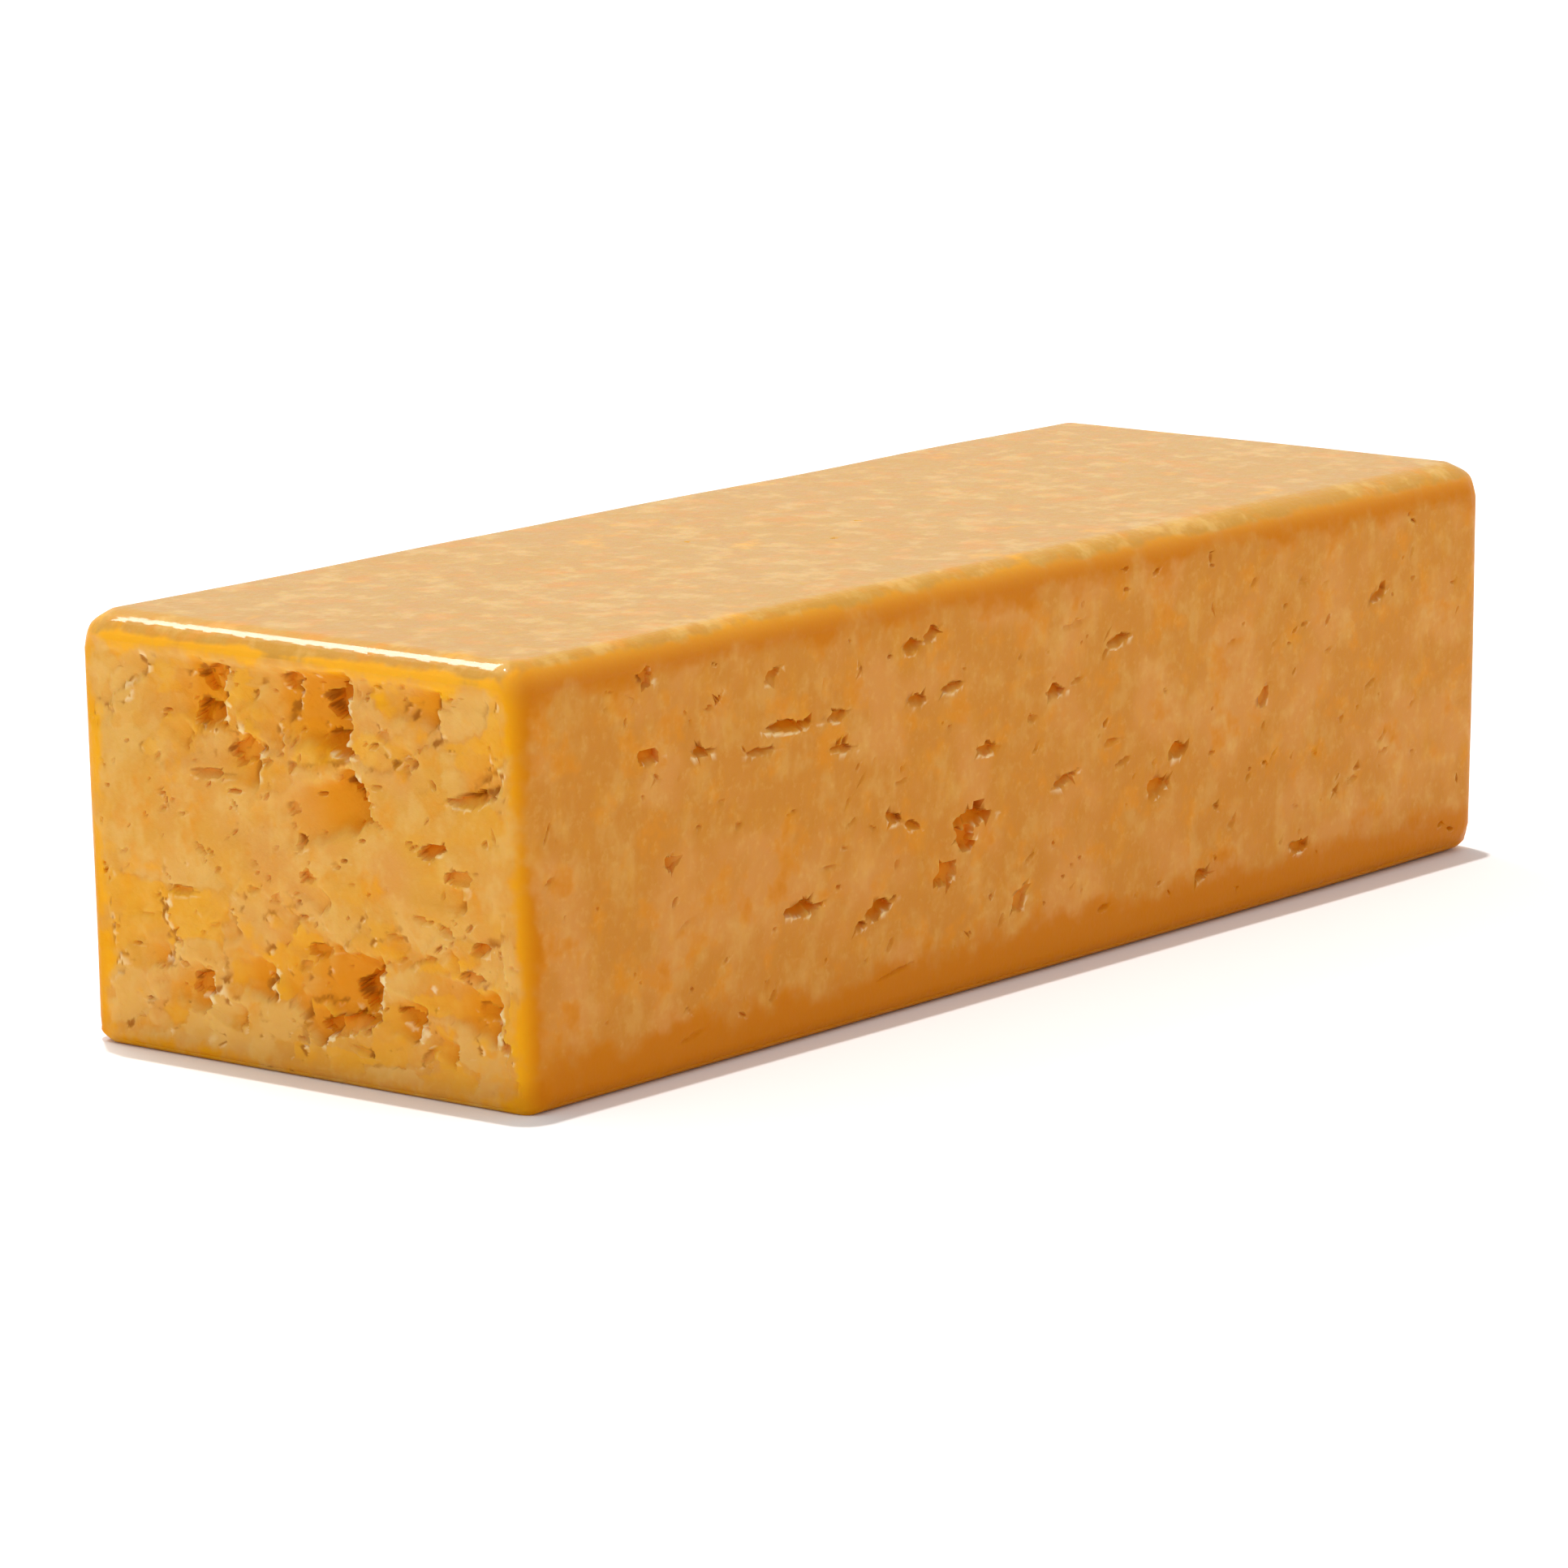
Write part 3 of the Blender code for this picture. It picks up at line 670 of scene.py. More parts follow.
def opening_relief(openings, chips, right, up):
    """How deep openings are, in millimetres, and how near their lit lips and dark walls are."""
    depth, lip_highlight, shade = (np.zeros_like(right) for _ in range(3))
    for found in openings:
        reach = OPENING_REACH[0] * max(found.half_length, found.half_height) + OPENING_REACH[1]
        near = np.flatnonzero((abs(right - found.right) < reach) & (abs(up - found.up) < reach))
        if not len(near):
            continue
        held = min(1.0, found.half_height / FINEST_CHIPPED)
        inside = 0.0
        for share, chip_right, chip_up in chips:
            pulled_right = right[near] + held * (chip_right[near] - right[near])
            pulled_up = up[near] + held * (chip_up[near] - up[near])
            inside = inside + share[near] * outline(found, pulled_right, pulled_up)[0]
        level = np.clip(outline(found, right[near], up[near])[1], *FLOOR_LEVELS)
        wall = smooth(inside / min(OPENING_WALL, found.half_height) + 0.1)
        floor = OPENING_FLOOR[0] + OPENING_FLOOR[1] * level
        depth[near] = np.maximum(depth[near], found.depth * wall * floor)
        strong = min(1.0, found.depth / DEEP_OPENING)
        lip_onset = smooth(LIP_ONSET[0] - LIP_ONSET[1] * level)
        shade_onset = smooth(SHADE_ONSET[0] + SHADE_ONSET[1] * level)
        low_border = lip_onset * peak(inside, *OPENING_LIP)
        high_border = shade_onset * peak(inside, *OPENING_SHADE)
        lip_highlight[near] = np.maximum(lip_highlight[near], LIP_STRENGTH * strong * low_border)
        shade[near] = np.maximum(shade[near], strong * high_border)
    return depth, lip_highlight, shade


def step_relief(chips, right, up):
    """How deep torn steps are, in millimetres, and how near their lit lips and dark walls are."""
    start_right, start_up = WIDTH_MM / 2 - TORN_END_START, HEIGHT_MM / 2
    wave, waviness, seed = STEP_WAVES
    waves = ripple(right / wave, up / wave, seed)
    deepest, lip_highlight, shade = (np.zeros_like(right) for _ in range(3))
    for middle, level, length, reach, depth, lean in TORN_STEPS:
        turn = math.radians(lean)

        def behind_wall(across, height):
            return (height - level) * math.sin(turn) - (across - middle) * math.cos(turn)

        across, height = right + start_right, up + start_up
        past, above = across - middle, height - level
        along = 2 * (past * math.sin(turn) + above * math.cos(turn)) / length
        along = along + waviness * waves
        behind = behind_wall(across, height)
        held = sum(share * behind_wall(r + start_right, u + start_up) for share, r, u in chips)
        fade = smooth(STEP_ENDS * (1 - along * along)) * smooth(STEP_SLOPE_END - behind / reach)
        fade = fade * (behind > STEP_FRONT)
        strong = fade * min(1.0, depth / DEEP_STEP)
        slope = np.exp(-np.clip(behind, 0, None) / reach) * smooth(held / STEP_WALL + 0.5)
        deepest = np.maximum(deepest, depth * slope * fade)
        lip_highlight = np.maximum(lip_highlight, strong * peak(held, *STEP_LIP))
        shade = np.maximum(shade, strong * peak(held, *STEP_SHADE))
    return deepest, lip_highlight, shade


def plate_sink(cell, x, y, seed):
    """How far a tilted plate sinks, 0 to 1: it falls towards its right and its foot."""
    tilt = np.clip(0.5 + PLATE_FALL[0] * (x - cell.x) - PLATE_FALL[1] * (y - cell.y), 0, 1)
    return 0.5 * draw(cell.i, cell.j, seed + SINK_SEED) + 0.5 * tilt


def plate_relief(chips, size, seed):
    """How far plates of curd sink, 0 to 1, their tones, and their lit lips and dark borders."""
    sink = tone = lip_highlight = shade = 0.0
    for share, right, up in chips:
        x, y = right / size[0], up / size[1]
        first, second = cells(x, y, seed)
        gap = second.distance - first.distance
        part = smooth(gap / PLATE_BLUR) / 2 + 0.5
        here, there = (plate_sink(cell, x, y, seed) for cell in (first, second))
        tones = [draw(cell.i, cell.j, seed + TONE_SEED) for cell in (first, second)]
        sink = sink + share * (here * part + there * (1 - part))
        tone = tone + share * (tones[0] * part + tones[1] * (1 - part))
        border = 1 - smooth(gap / PLATE_BORDER)
        to_right = smooth(0.5 + 0.8 * (first.x - second.x) - 0.4 * (first.y - second.y))
        lip_drop = np.clip((there - here - LIP_DROP[0]) / LIP_DROP[1], 0, 1)
        shade_drop = np.clip((here - there - SHADE_DROP[0]) / SHADE_DROP[1], 0, 1)
        lip_highlight = lip_highlight + share * border * lip_drop * to_right
        shade = shade + share * border * shade_drop
    return sink, tone, lip_highlight, shade


def side_relief(name, right, up):
    """How far places on a side sink, in millimetres, how much of that is torn, and their marks."""
    torn, keep = tornness(name, right, up), share_kept(name, right, up)
    chips = chip_places(right, up)
    depth, lip_highlight, shade = opening_relief(OPENINGS[name], chips, right, up)
    steps = np.zeros_like(right)
    if name == "near_end":
        steps, step_lip, step_shade = step_relief(chips, right, up)
        lip_highlight, shade = np.maximum(lip_highlight, step_lip), np.maximum(shade, step_shade)
    sink = tone = 0.0
    stretches = ripple(right / OPEN_STRETCH, up / OPEN_STRETCH, OPEN_SEED)
    open_borders = torn * smooth(0.5 + 1.2 * stretches)
    for size, seed, part in PLATES:
        plate, plate_tone, plate_lip, plate_shade = plate_relief(chips, size, seed)
        sink, tone = sink + part * plate, tone + part * plate_tone
        lip_highlight = np.maximum(lip_highlight, PLATE_LIP * open_borders * plate_lip)
        shade = np.maximum(shade, PLATE_SHADE * open_borders * plate_shade)
    rough = torn if name in ("near_end", "far_end") else 1.0
    fall = PLATE_SINK[name] * rough * sink
    marks = {
        "pit": keep * np.clip(depth / FULL_PIT, 0, 1),
        "sunk": keep * np.clip(steps / FULL_STEP + 0.5 * torn * (sink - LOW_PLATE), 0, 1),
        "lip_highlight": keep * lip_highlight * np.clip(1 - depth / LIP_GONE, 0, 1),
        "shade": keep * shade,
        "tone": tone,
        "torn": keep * torn,
    }
    return keep * (depth + steps + fall), keep * (depth + steps), marks


def painted_edge_bands(gaps):
    """How strong the painted glow and shade along the edges is, 0 to 1."""
    edge_glow_and_shade = np.zeros(len(gaps))
    for first, second, over_first, over_second, strength in PAINTED_EDGE_BANDS:
        past_first = gaps[:, NAMES.index(second)] / over_first
        past_second = gaps[:, NAMES.index(first)] / over_second
        reach = strength * (1 - smooth(np.maximum(past_first, past_second)))
        edge_glow_and_shade = np.maximum(edge_glow_and_shade, reach)
    return edge_glow_and_shade


# How fine the mesh is, in millimetres: round openings, on the more and less torn parts of the torn
# end, on the long side and the top, along the edges, and on the sides that the photograph hides.
FINE_CELL = 0.235
ROUGH_CELL = 0.29
CALM_CELL = 0.42
BROAD_CELL = 1.0
EDGE_CELL = 0.9
HIDDEN_CELL = 1.6

# How torn the rough parts are at least, how much coarser openings are on the other sides, how far
# past an opening the mesh is fine, and how wide the edges are.
ROUGH_TORN = 0.45
HIDDEN_COARSER = 1.6
FINE_MARGIN = 0.3
EDGE_WIDTH = 1.0

# An edge is split when it is longer than this many cells, in so many rounds at most.
SPLIT_AT = 1.45
MOST_ROUNDS = 9


def cell_sizes(points):
    """How fine the mesh is at each point, in millimetres."""
    side, right, up, gaps = on_sides(points)
    margin = np.sort(gaps, axis=1)[:, 1]
    sizes = np.full(len(points), HIDDEN_CELL)
    for number, name in enumerate(NAMES):
        here = np.flatnonzero(side == number)
        if name == "near_end":
            rough = tornness(name, right[here], up[here]) > ROUGH_TORN
            sizes[here] = np.where(rough, ROUGH_CELL, CALM_CELL)
        elif name in ("front", "top"):
            sizes[here] = BROAD_CELL
        fine = FINE_CELL if name in ("near_end", "front") else HIDDEN_COARSER * FINE_CELL
        for found in OPENINGS[name]:
            reach = OPENING_REACH[0] * found.half_length + OPENING_REACH[1]
            aside, above = abs(right[here] - found.right), abs(up[here] - found.up)
            near = here[(aside < reach) & (above < reach)]
            if len(near):
                inside = outline(found, right[near], up[near])[0]
                finer = np.minimum(sizes[near], fine)
                sizes[near] = np.where(inside > -FINE_MARGIN, finer, sizes[near])
    return np.where(margin < EDGE_WIDTH, np.clip(sizes, EDGE_CELL / 2, EDGE_CELL), sizes)


# How near to a plane of the box a point counts as on it, in metres.
ON_PLANE = 1e-6


def planes_of(point):
    """The box planes that a point of the plain block lies on, as (axis, sign)."""
    offset = point - MIDDLE
    return {
        (axis, 1 if offset[axis] > 0 else -1)
        for axis in range(3)
        if abs(abs(offset[axis]) - HALF[axis]) < ON_PLANE
    }


def wear(middle):
    """How much rounder worn corners make an edge near them."""
    total = 0.0
    for signs, added in WORN_CORNERS.items():
        corner = Vector(sign * half for sign, half in zip(signs, HALF))
        total += blend(0, added, 1 - (middle - MIDDLE - corner).length / WORN_REACH)
    return total


def edge_radius(shared, middle):
    """The radius of the rounding on a box edge, which changes along it."""
    if (2, 1) not in shared and (2, -1) not in shared:
        foot = NEAR_FRONT_FOOT_RADIUS if shared == {(0, -1), (1, -1)} else UPRIGHT_RADIUS
        radius = blend(foot, UPRIGHT_RADIUS, (middle.z - LOW.z) / SIZE.z)
        return min(radius + UPRIGHT_WEAR * wear(middle), WIDEST_RADIUS)
    radius = TOP_RADIUS
    if shared == {(2, 1), (1, -1)}:
        along = (middle.x - LOW.x) / SIZE.x
        start, end = FRONT_TOP_WIDENING
        radius = blend(TOP_RADIUS, FAR_FRONT_TOP_RADIUS, (along - start) / (end - start))
    elif (2, -1) in shared:
        radius = NEAR_FOOT_RADIUS if (0, -1) in shared else FOOT_RADIUS
    return min(radius + wear(middle), WIDEST_RADIUS)


def set_back(points, gaps):
    """Leans both ends and narrows the -Y side: how far each point moves."""
    below_top = HIGH.z - points[:, 2]
    near, far, front = (
        np.clip(1 - gaps[:, NAMES.index(name)] * MM / EDGE_LOOP, 0, 1)
        for name in ("near_end", "far_end", "front")
    )
    more_at_foot = NARROWING_AT_FOOT - NARROWING_AT_TOP
    narrowing = NARROWING_AT_TOP + more_at_foot * below_top / SIZE.z
    moves = np.zeros_like(points)
    moves[:, 0] = (math.tan(NEAR_END_LEAN) * near - math.tan(FAR_END_LEAN) * far) * below_top
    moves[:, 1] = narrowing * (HIGH.x - points[:, 0]) / SIZE.x * front
    return moves


def rounded_block():
    """The block with rounded edges, still coarse, upright and smooth."""
    bm = bmesh.new()
    bmesh.ops.create_cube(bm, size=1.0)
    bmesh.ops.scale(bm, vec=SIZE, verts=bm.verts)
    bmesh.ops.translate(bm, vec=MIDDLE, verts=bm.verts)
    for axis in range(3):
        normal = Vector(float(i == axis) for i in range(3))
        inner = HALF[axis] - EDGE_LOOP
        spaces = math.ceil(2 * inner / CAGE_SPACING)
        for loop in range(spaces + 1):
            place = MIDDLE + normal * (-inner + 2 * inner * loop / spaces)
            everything = bm.verts[:] + bm.edges[:] + bm.faces[:]
            bmesh.ops.bisect_plane(bm, geom=everything, plane_co=place, plane_no=normal)
    weight = bm.edges.layers.float.new("bevel_weight_edge")
    for edge in bm.edges:
        start, end = (vertex.co for vertex in edge.verts)
        shared = planes_of(start) & planes_of(end)
        if len(shared) == 2:
            edge[weight] = edge_radius(shared, (start + end) / 2) / WIDEST_RADIUS
    mesh = bpy.data.meshes.new("rounded_block")
    bm.to_mesh(mesh)
    bm.free()
    block = bpy.data.objects.new("rounded_block", mesh)
    bpy.context.scene.collection.objects.link(block)
    bevel = block.modifiers.new("rounded_edges", "BEVEL")
    bevel.limit_method = "WEIGHT"
    bevel.offset_type = "OFFSET"
    bevel.width = WIDEST_RADIUS
    bevel.segments = EDGE_SEGMENTS
    evaluated = block.evaluated_get(bpy.context.evaluated_depsgraph_get())
    rounded = bmesh.new()
    rounded.from_mesh(evaluated.to_mesh())
    evaluated.to_mesh_clear()
    bpy.data.objects.remove(block)
    return rounded


def refine(bm):
    """Splits edges until the mesh is as fine as each place needs."""
    bmesh.ops.triangulate(bm, faces=bm.faces[:])
    for _ in range(MOST_ROUNDS):
        edges = bm.edges[:]
        ends = np.array([(*edge.verts[0].co, *edge.verts[1].co) for edge in edges])
        lengths = np.linalg.norm(ends[:, :3] - ends[:, 3:], axis=1) / MM
        limits = SPLIT_AT * cell_sizes((ends[:, :3] + ends[:, 3:]) / 2)
        long_edges = [edges[number] for number in np.flatnonzero(lengths > limits)]
        if not long_edges:
            break
        bmesh.ops.subdivide_edges(bm, edges=long_edges, cuts=1, use_grid_fill=True)
        bmesh.ops.triangulate(bm, faces=[face for face in bm.faces if len(face.verts) > 3])


# The sides whose openings and steps are cut in at a slant, the shares of their depth that the slant
# moves them to the right and up, and how far in from the edges it starts and grows.
UNDERCUT = [NAMES.index(name) for name in ("near_end", "front")]
SLANT = (0.25, 0.3)
SLANT_MARGIN = 1.5
SLANT_GROWTH = 2.5

# How much painted shade the underside gets beside the long sides, and the polish of the top and how
# soon it sets in. The polish of the torn end's top edge fades over this width in millimetres.
UNDERSIDE_SHADE = 0.6
TOP_POLISH = 0.45
TOP_POLISH_RISE = 1.6
POLISHED_EDGE = 3.4


def surface_marks(gaps, normals, pit):
    """The marks that follow the block's form and not its relief."""
    underside = np.clip(-normals[:, 2], 0, 1)
    # Painted shade on the long sides and the underside.
    side_shade = np.clip(normals[:, 1] ** 2 + UNDERSIDE_SHADE * underside, 0, 1)
    past_edge = np.maximum(gaps[:, NAMES.index("near_end")], gaps[:, NAMES.index("top")])
    torn_edge = 1 - smooth(past_edge / POLISHED_EDGE)
    topside = TOP_POLISH * np.clip(TOP_POLISH_RISE * normals[:, 2], 0, 1)
    polish = np.maximum(topside, torn_edge) * (1 - pit)
    return {"edge_glow_and_shade": painted_edge_bands(gaps), "side_shade": side_shade, "polish": polish}


def press_relief(mesh):
    """Moves the surface inwards to the form of the curd, and marks what the material colours."""
    count = len(mesh.vertices)
    points = np.empty(3 * count)
    mesh.vertices.foreach_get("co", points)
    points = points.reshape(-1, 3)
    side, right, up, gaps = on_sides(points)
    normals = np.clip(1 - gaps * MM / UPRIGHT_RADIUS, 0, 1) @ NORMALS
    normals /= np.linalg.norm(normals, axis=1)[:, None]
    sunk, slanted = np.zeros(count), np.zeros(count)
    marks = {name: np.zeros(count) for name in MARKS}
    for number, name in enumerate(NAMES):
        here = np.flatnonzero(side == number)
        sunk[here], slanted[here], found = side_relief(name, right[here], up[here])
        for mark, values in found.items():
            marks[mark][here] = values
    marks.update(surface_marks(gaps, normals, marks["pit"]))
    swell = np.array([noise.noise(Vector(point) / SWELL_SCALE) for point in points])
    swell = SWELL * (0.5 + 0.5 * swell) * (side != NAMES.index("bottom"))
    moves = -NORMALS[side] * sunk[:, None] * MM - normals * swell[:, None]
    from_edge = np.sort(gaps, axis=1)[:, 1]
    slanted *= smooth((from_edge - SLANT_MARGIN) / SLANT_GROWTH) * np.isin(side, UNDERCUT)
    moves += (SLANT[0] * RIGHTWARD[side] + SLANT[1] * UPWARD[side]) * slanted[:, None] * MM
    points = points + set_back(points, gaps) + moves
    mesh.vertices.foreach_set("co", points.ravel())
    for name, values in marks.items():
        mesh.attributes.new(name, "FLOAT", "POINT").data.foreach_set("value", values)
    mesh.update()


# Edges sharper than this are shaded as creases.
CREASE_ANGLE = math.radians(38)


def make_cheddar(material):
    """The block of cheddar, with its relief and its marks."""
    bm = rounded_block()
    refine(bm)
    bmesh.ops.recalc_face_normals(bm, faces=bm.faces[:])
    mesh = bpy.data.meshes.new("pressed_cheddar")
    bm.to_mesh(mesh)
    bm.free()
    press_relief(mesh)
    mesh.materials.append(material)
    mesh.shade_smooth()
    mesh.set_sharp_from_angle(angle=CREASE_ANGLE)
    cheddar = bpy.data.objects.new("pressed_cheddar", mesh)
    bpy.context.scene.collection.objects.link(cheddar)
    return cheddar


# Colours of the curd, linear.
TAN = (0.730, 0.350, 0.052, 1.0)
# Painted shade: the redder, darker colour of the long sides and the underside.
SHADED_ROSY = (0.610, 0.235, 0.026, 1.0)
PEACH = (0.730, 0.320, 0.080, 1.0)
PALE = (0.800, 0.480, 0.130, 1.0)
# Also painted shade in the torn end's hollows.
ORANGE = (0.760, 0.265, 0.004, 1.0)
GOLD = (0.880, 0.410, 0.004, 1.0)
# Painted glow and shade along the edges of the long sides and the underside.
AMBER = (0.590, 0.180, 0.0001, 1.0)
# Painted shade inside the openings.
DEEP = (0.760, 0.225, 0.003, 1.0)
# Painted shade along the dark walls of openings, steps and plates.
BROWN = (0.360, 0.100, 0.003, 1.0)
# Painted highlight on the lit lips.
HIGHLIGHT_CREAM = (0.950, 0.780, 0.460, 1.0)
# Painted darker on the top to offset the stronger light that falls on it.
TOP_DIMMED = (0.500, 0.255, 0.018, 1.0)

# The curd's surface: the size of its flakes in millimetres, its roughness from smooth to rough
# grain, how much smoother it is where it is polished, and how deep light enters it.
FLAKE = 0.9
CURD_ROUGHNESS = (0.34, 0.46)
POLISHED_SMOOTHER = 0.12
LIGHT_DEPTH = 2.6 * MM


class Weave:
    """Adds nodes to a material and joins them."""

    def __init__(self, tree):
        self.tree = tree

    def add(self, kind, values=(), **settings):
        made = self.tree.nodes.new(kind)
        for name, value in settings.items():
            setattr(made, name, value)
        self.feed(made, values)
        return made

    def feed(self, node, values):
        """Joins sockets to a node's inputs, or sets their values."""
        for socket, value in dict(values).items():
            if isinstance(value, bpy.types.NodeSocket):
                self.tree.links.new(value, node.inputs[socket])
            else:
                node.inputs[socket].default_value = value

    def maths(self, operation, *values):
        made = self.add("ShaderNodeMath", dict(enumerate(values)), operation=operation)
        return made.outputs[0]

    def mark(self, name):
        """One of the marks at each place of the surface."""
        return self.add("ShaderNodeAttribute", attribute_name=name).outputs["Fac"]

    def stretched(self, place, factors):
        """A place multiplied by a factor for each axis."""
        made = self.add("ShaderNodeVectorMath", {0: place, 1: factors}, operation="MULTIPLY")
        return made.outputs[0]

    def noise(self, place, size, detail=2.0, roughness=0.5):
        """Noise with features of about this many millimetres."""
        values = {"Vector": place, "Scale": 1 / size, "Detail": detail, "Roughness": roughness}
        return self.add("ShaderNodeTexNoise", values).outputs["Fac"]

    def ease(self, value, start, end, low=0.0, high=1.0):
        """From low to high, gently, as the value goes from start to end."""
        values = {"Value": value, "From Min": start, "From Max": end, "To Min": low, "To Max": high}
        made = self.add("ShaderNodeMapRange", values, interpolation_type="SMOOTHSTEP")
        return made.outputs["Result"]

    def tint(self, share, base, colour):
        """This share of a colour over the base."""
        made = self.add("ShaderNodeMix", {0: share, 6: base, 7: colour}, data_type="RGBA")
        return made.outputs[2]


def curd_colours(weave, place, marks):
    """The mottled colour of the curd, deeper along the edges and in the openings."""
    blotches = weave.noise(place, 8.0, 2.0)
    mottle = weave.noise(weave.stretched(place, (1.0, 1.0, 0.8)), 2.6, 3.0, 0.6)
    other_mottle = weave.noise(weave.stretched(place, (0.9, 1.1, 1.0)), 3.6, 3.0, 0.6)
    streaks = weave.noise(weave.stretched(place, (1.0, 1.0, 0.5)), 1.8, 2.0)
    grain = weave.noise(place, 0.8, 3.0, 0.65)
    # Painted shade: the long sides and the underside are redder, darker and less pale.
    colour = weave.tint(marks["side_shade"], TAN, SHADED_ROSY)
    colour = weave.tint(weave.ease(blotches, 0.45, 0.65, 0.0, 0.5), colour, PEACH)
    pale = weave.ease(marks["side_shade"], 0.0, 1.0, 0.6, 0.28)
    pale_mottle = weave.maths("MULTIPLY", weave.ease(mottle, 0.46, 0.72), pale)
    colour = weave.tint(pale_mottle, colour, PALE)
    colour = weave.tint(weave.ease(other_mottle, 0.5, 0.72, 0.0, 0.55), colour, ORANGE)
    colour = weave.tint(weave.ease(streaks, 0.5, 0.8, 0.0, 0.1), colour, GOLD)
    colour = weave.tint(weave.ease(grain, 0.5, 0.75, 0.0, 0.22), colour, PALE)
    high_tones = weave.ease(marks["tone"], 0.45, 0.75, 0.0, 0.6)
    colour = weave.tint(weave.maths("MULTIPLY", marks["torn"], high_tones), colour, PALE)
    # The top is painted darker to offset the stronger light on it.
    top = weave.ease(marks["polish"], 0.38, 0.45)
    colour = weave.tint(weave.maths("MULTIPLY", top, 0.6), colour, TOP_DIMMED)
    # Pale flecks on the top: mottle of the curd and painted glints.
    flecks_and_glints = weave.ease(weave.noise(place, 2.8, 3.0, 0.6), 0.48, 0.68, 0.0, 0.5)
    colour = weave.tint(weave.maths("MULTIPLY", top, flecks_and_glints), colour, PALE)
    warm_mottle = weave.noise(weave.stretched(place, (1.0, 1.0, 1.7)), 4.2, 3.0, 0.6)
    warm_flecks = weave.ease(warm_mottle, 0.5, 0.68, 0.0, 0.42)
    colour = weave.tint(weave.maths("MULTIPLY", top, warm_flecks), colour, ORANGE)
    low_tones = weave.ease(marks["tone"], 0.5, 0.2, 0.0, 0.5)
    colour = weave.tint(weave.maths("MULTIPLY", marks["torn"], low_tones), colour, GOLD)
    # Painted glow and shade: deeper orange along the edges, wandering with the mottle.
    wander = marks["edge_glow_and_shade"]
    for wanderer, reach in ((other_mottle, 1.5), (blotches, 0.9)):
        wander = weave.maths("MULTIPLY_ADD", weave.maths("SUBTRACT", wanderer, 0.5), reach, wander)
    edge_glow_colour = weave.tint(marks["side_shade"], GOLD, AMBER)
    colour = weave.tint(weave.ease(wander, 0.16, 0.66, 0.0, 0.95), colour, edge_glow_colour)
    # Painted shade: deeper orange in the torn hollows and openings, and brown along their dark
    # walls.
    colour = weave.tint(weave.ease(marks["sunk"], 0.05, 0.55, 0.0, 0.9), colour, ORANGE)
    colour = weave.tint(weave.ease(marks["pit"], 0.06, 0.7, 0.0, 0.9), colour, DEEP)
    colour = weave.tint(weave.ease(marks["shade"], 0.1, 0.75, 0.0, 0.8), colour, BROWN)
    # Painted highlight: cream along the lit lips.
    colour = weave.tint(weave.ease(marks["lip_highlight"], 0.15, 0.9, 0.0, 0.7), colour, HIGHLIGHT_CREAM)
    return colour, grain, mottle


def cheddar_material():
    """Waxy, mottled curd that light enters a little, glossier on top and along the torn edge."""
    made = bpy.data.materials.new("mottled_cheddar")
    made.use_nodes = True
    weave = Weave(made.node_tree)
    shader = made.node_tree.nodes["Principled BSDF"]
    place = weave.stretched(weave.add("ShaderNodeTexCoord").outputs["Object"], (1 / MM,) * 3)
    marks = {name: weave.mark(name) for name in MARKS}
    colour, grain, mottle = curd_colours(weave, place, marks)
    flakes = weave.add("ShaderNodeTexVoronoi", {"Vector": place, "Scale": 1 / FLAKE})
    flake = weave.maths("MULTIPLY", flakes.outputs["Color"], marks["torn"])
    height = weave.maths("MULTIPLY_ADD", grain, 0.10, weave.maths("MULTIPLY", flake, 0.05))
    height = weave.maths("MULTIPLY_ADD", mottle, 0.12, height)
    bump = weave.add("ShaderNodeBump", {"Height": height, "Distance": MM, "Strength": 0.8})
    roughness = weave.ease(grain, 0.3, 0.7, *CURD_ROUGHNESS)
    roughness = weave.maths("MULTIPLY_ADD", marks["polish"], -POLISHED_SMOOTHER, roughness)
    finish = {
        "Base Color": colour,
        "Normal": bump.outputs["Normal"],
        "Roughness": roughness,
        "Specular IOR Level": 0.05,
        "Coat Weight": marks["polish"],
        "Coat Roughness": 0.07,
        "Subsurface Weight": 0.4,
        "Subsurface Radius": (1.0, 0.45, 0.12),
        "Subsurface Scale": LIGHT_DEPTH,
    }
    weave.feed(shader, finish)
    return made


# The floor reaches this far each way from the block, in metres.
FLOOR_REACH = 6.0


def make_floor():
    """White paper under the block."""
    bm = bmesh.new()
    bmesh.ops.create_grid(bm, x_segments=1, y_segments=1, size=FLOOR_REACH)
    mesh = bpy.data.meshes.new("studio_floor")
    bm.to_mesh(mesh)
    bm.free()
    floor = bpy.data.objects.new("studio_floor", mesh)
    bpy.context.scene.collection.objects.link(floor)
    made = bpy.data.materials.new("white_paper")
    made.use_nodes = True
    shader = made.node_tree.nodes["Principled BSDF"]
    finish = {
        "Base Color": (0.98, 0.98, 0.98, 1.0),
        "Roughness": 0.9,
        "Specular IOR Level": 0.1,
    }
    Weave(made.node_tree).feed(shader, finish)
    mesh.materials.append(made)
    return floor


# The camera, from the photograph's perspective: angles, distance and shifts in metres, and the
# sizes of the sensor and the lens in millimetres.
VIEW_AZIMUTH = math.radians(-52.84)
VIEW_ELEVATION = math.radians(10.72)
VIEW_DISTANCE = 0.6425
VIEW_RIGHT = -3.18 * MM
VIEW_UP = -4.11 * MM
SENSOR = 36.0
FOCAL_LENGTH = 175.7

# The studio's light: the white room's strength, then the overhead lamp's strength, direction and
# width, then the softbox's direction, distance and size in metres, and its watts.
WORLD_STRENGTH = 0.64
OVERHEAD_STRENGTH = 1.65
OVERHEAD_DIRECTION = (1.6, 3.2, 35.0)
OVERHEAD_WIDTH = math.radians(1.0)
SOFTBOX_DIRECTION = (0.14, 0.60, 0.78)
SOFTBOX_DISTANCE = 1.2
SOFTBOX_SIZE = (0.62, 0.22)
SOFTBOX_POWER = 5.0


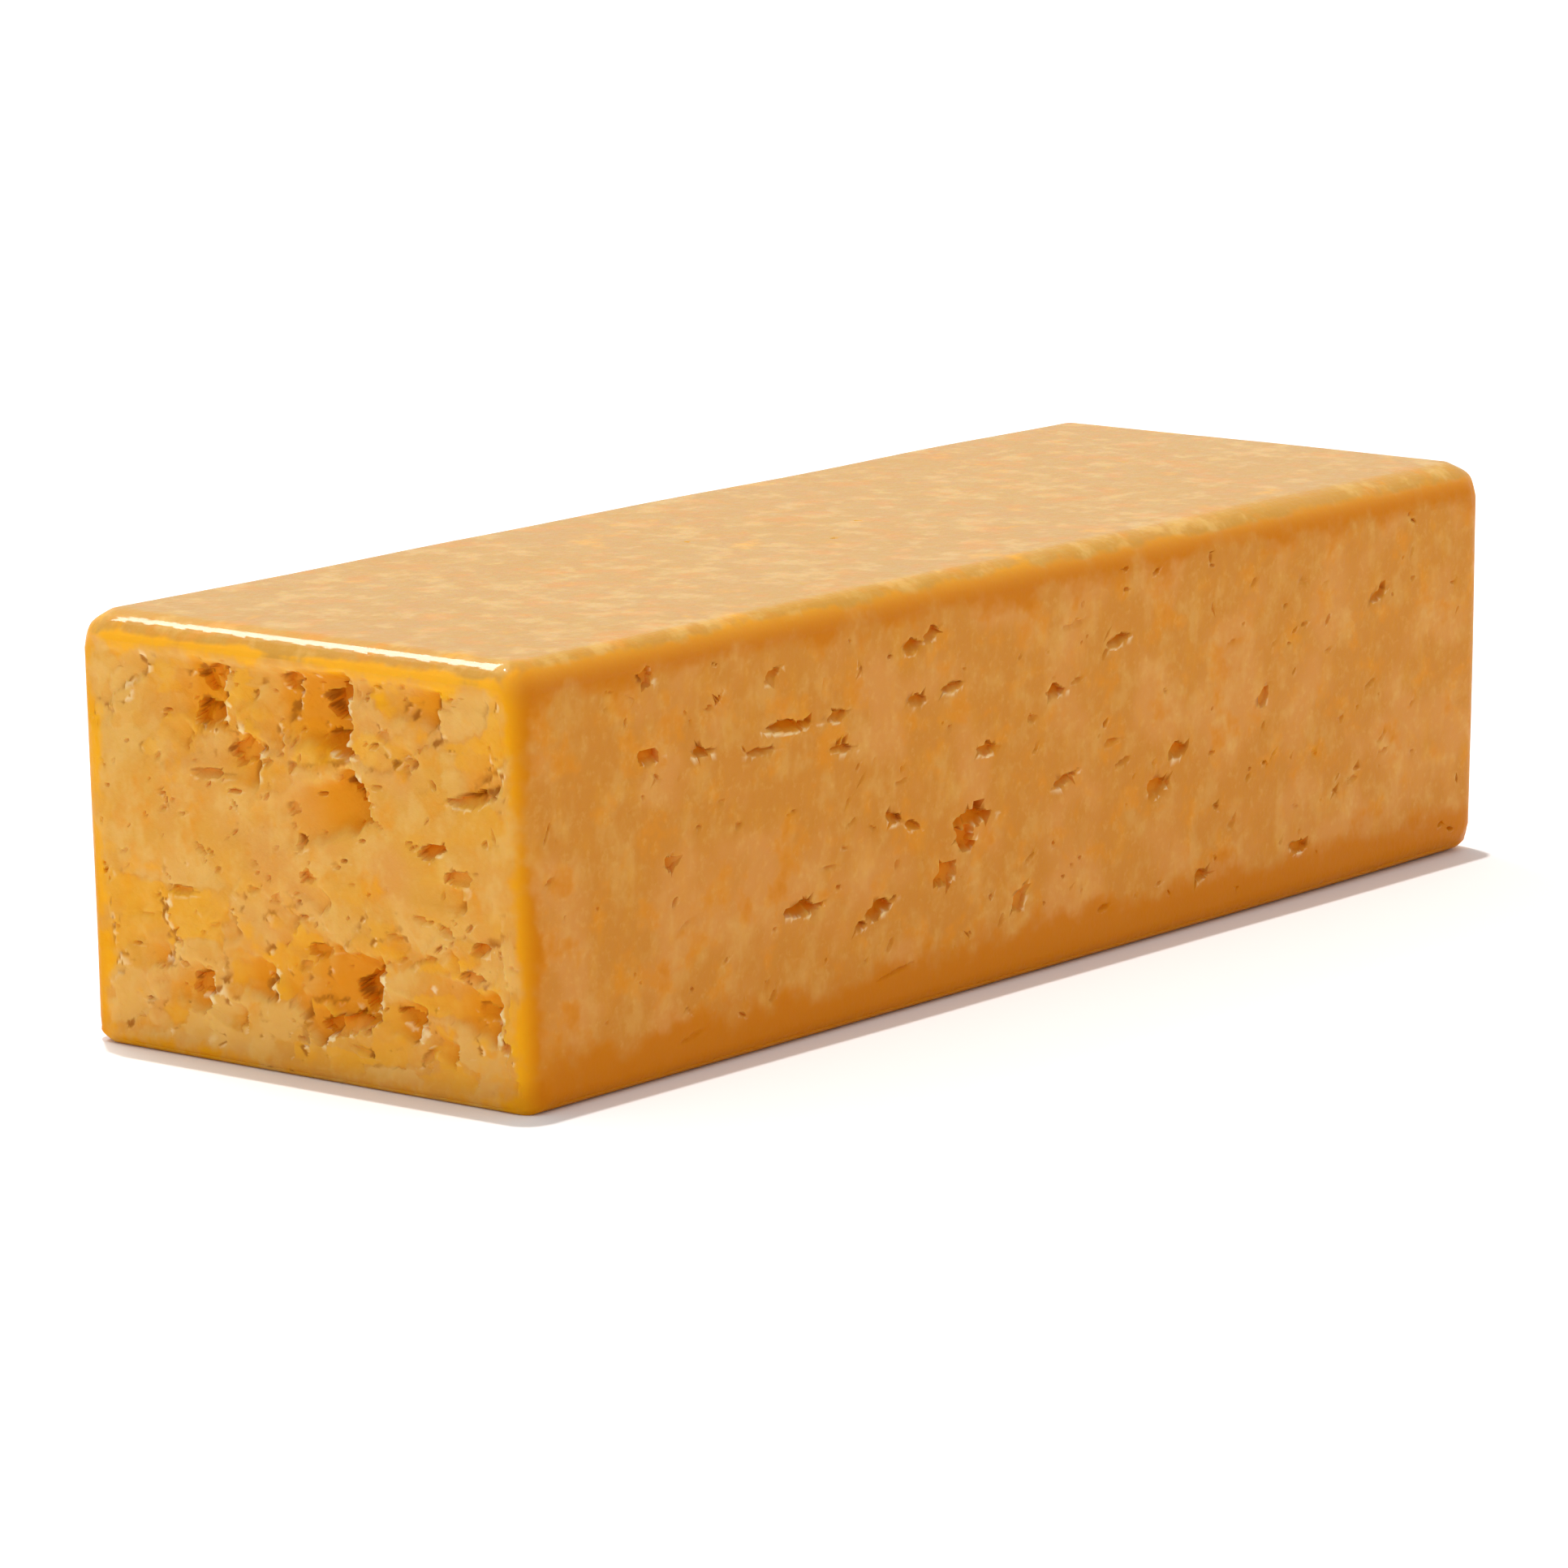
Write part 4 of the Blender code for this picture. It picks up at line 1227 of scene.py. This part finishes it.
def view_axes():
    """The camera's backward, right and upward directions."""
    back = Vector(
        (
            math.sin(VIEW_AZIMUTH) * math.cos(VIEW_ELEVATION),
            -math.cos(VIEW_AZIMUTH) * math.cos(VIEW_ELEVATION),
            math.sin(VIEW_ELEVATION),
        )
    )
    right = Vector((0, 0, 1)).cross(back).normalized()
    return back, right, back.cross(right)


def place_camera():
    """The camera, at the photograph's viewing angle."""
    back, right, up = view_axes()
    data = bpy.data.cameras.new("photo_view")
    data.sensor_width = SENSOR
    data.lens = FOCAL_LENGTH
    camera = bpy.data.objects.new("photo_view", data)
    aim = Vector((0, 0, HEIGHT_MM * MM / 2))
    camera.location = aim + back * VIEW_DISTANCE + right * VIEW_RIGHT + up * VIEW_UP
    camera.rotation_euler = back.to_track_quat("Z", "Y").to_euler()
    bpy.context.scene.collection.objects.link(camera)
    bpy.context.scene.camera = camera


def hang_light(name, data, direction, distance=0.0):
    """A light that shines on the block from a direction."""
    light = bpy.data.objects.new(name, data)
    towards = Vector(direction)
    light.location = MIDDLE + towards.normalized() * distance
    light.rotation_euler = towards.to_track_quat("Z", "Y").to_euler()
    bpy.context.scene.collection.objects.link(light)


def light_studio():
    """A white room, a small lamp overhead, and a softbox that the torn end's top edge mirrors."""
    world = bpy.data.worlds.new("white_studio")
    bpy.context.scene.world = world
    world.use_nodes = True
    background = world.node_tree.nodes["Background"]
    background.inputs["Color"].default_value = (1.0, 1.0, 1.0, 1.0)
    background.inputs["Strength"].default_value = WORLD_STRENGTH
    lamp = bpy.data.lights.new("overhead_lamp", "SUN")
    lamp.energy = OVERHEAD_STRENGTH
    lamp.angle = OVERHEAD_WIDTH
    hang_light("overhead_lamp", lamp, OVERHEAD_DIRECTION)
    softbox = bpy.data.lights.new("back_softbox", "AREA")
    softbox.shape = "RECTANGLE"
    softbox.size, softbox.size_y = SOFTBOX_SIZE
    softbox.energy = SOFTBOX_POWER
    hang_light("back_softbox", softbox, SOFTBOX_DIRECTION, SOFTBOX_DISTANCE)
    bpy.context.scene.view_settings.view_transform = "Standard"


place_camera()
light_studio()
make_floor()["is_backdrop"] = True
cheddar = make_cheddar(cheddar_material())
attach(cheddar, "root")
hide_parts("cheddar_block")

boxes = cad_box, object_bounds()
[[list(map(float, corner)) for corner in box] for box in boxes]
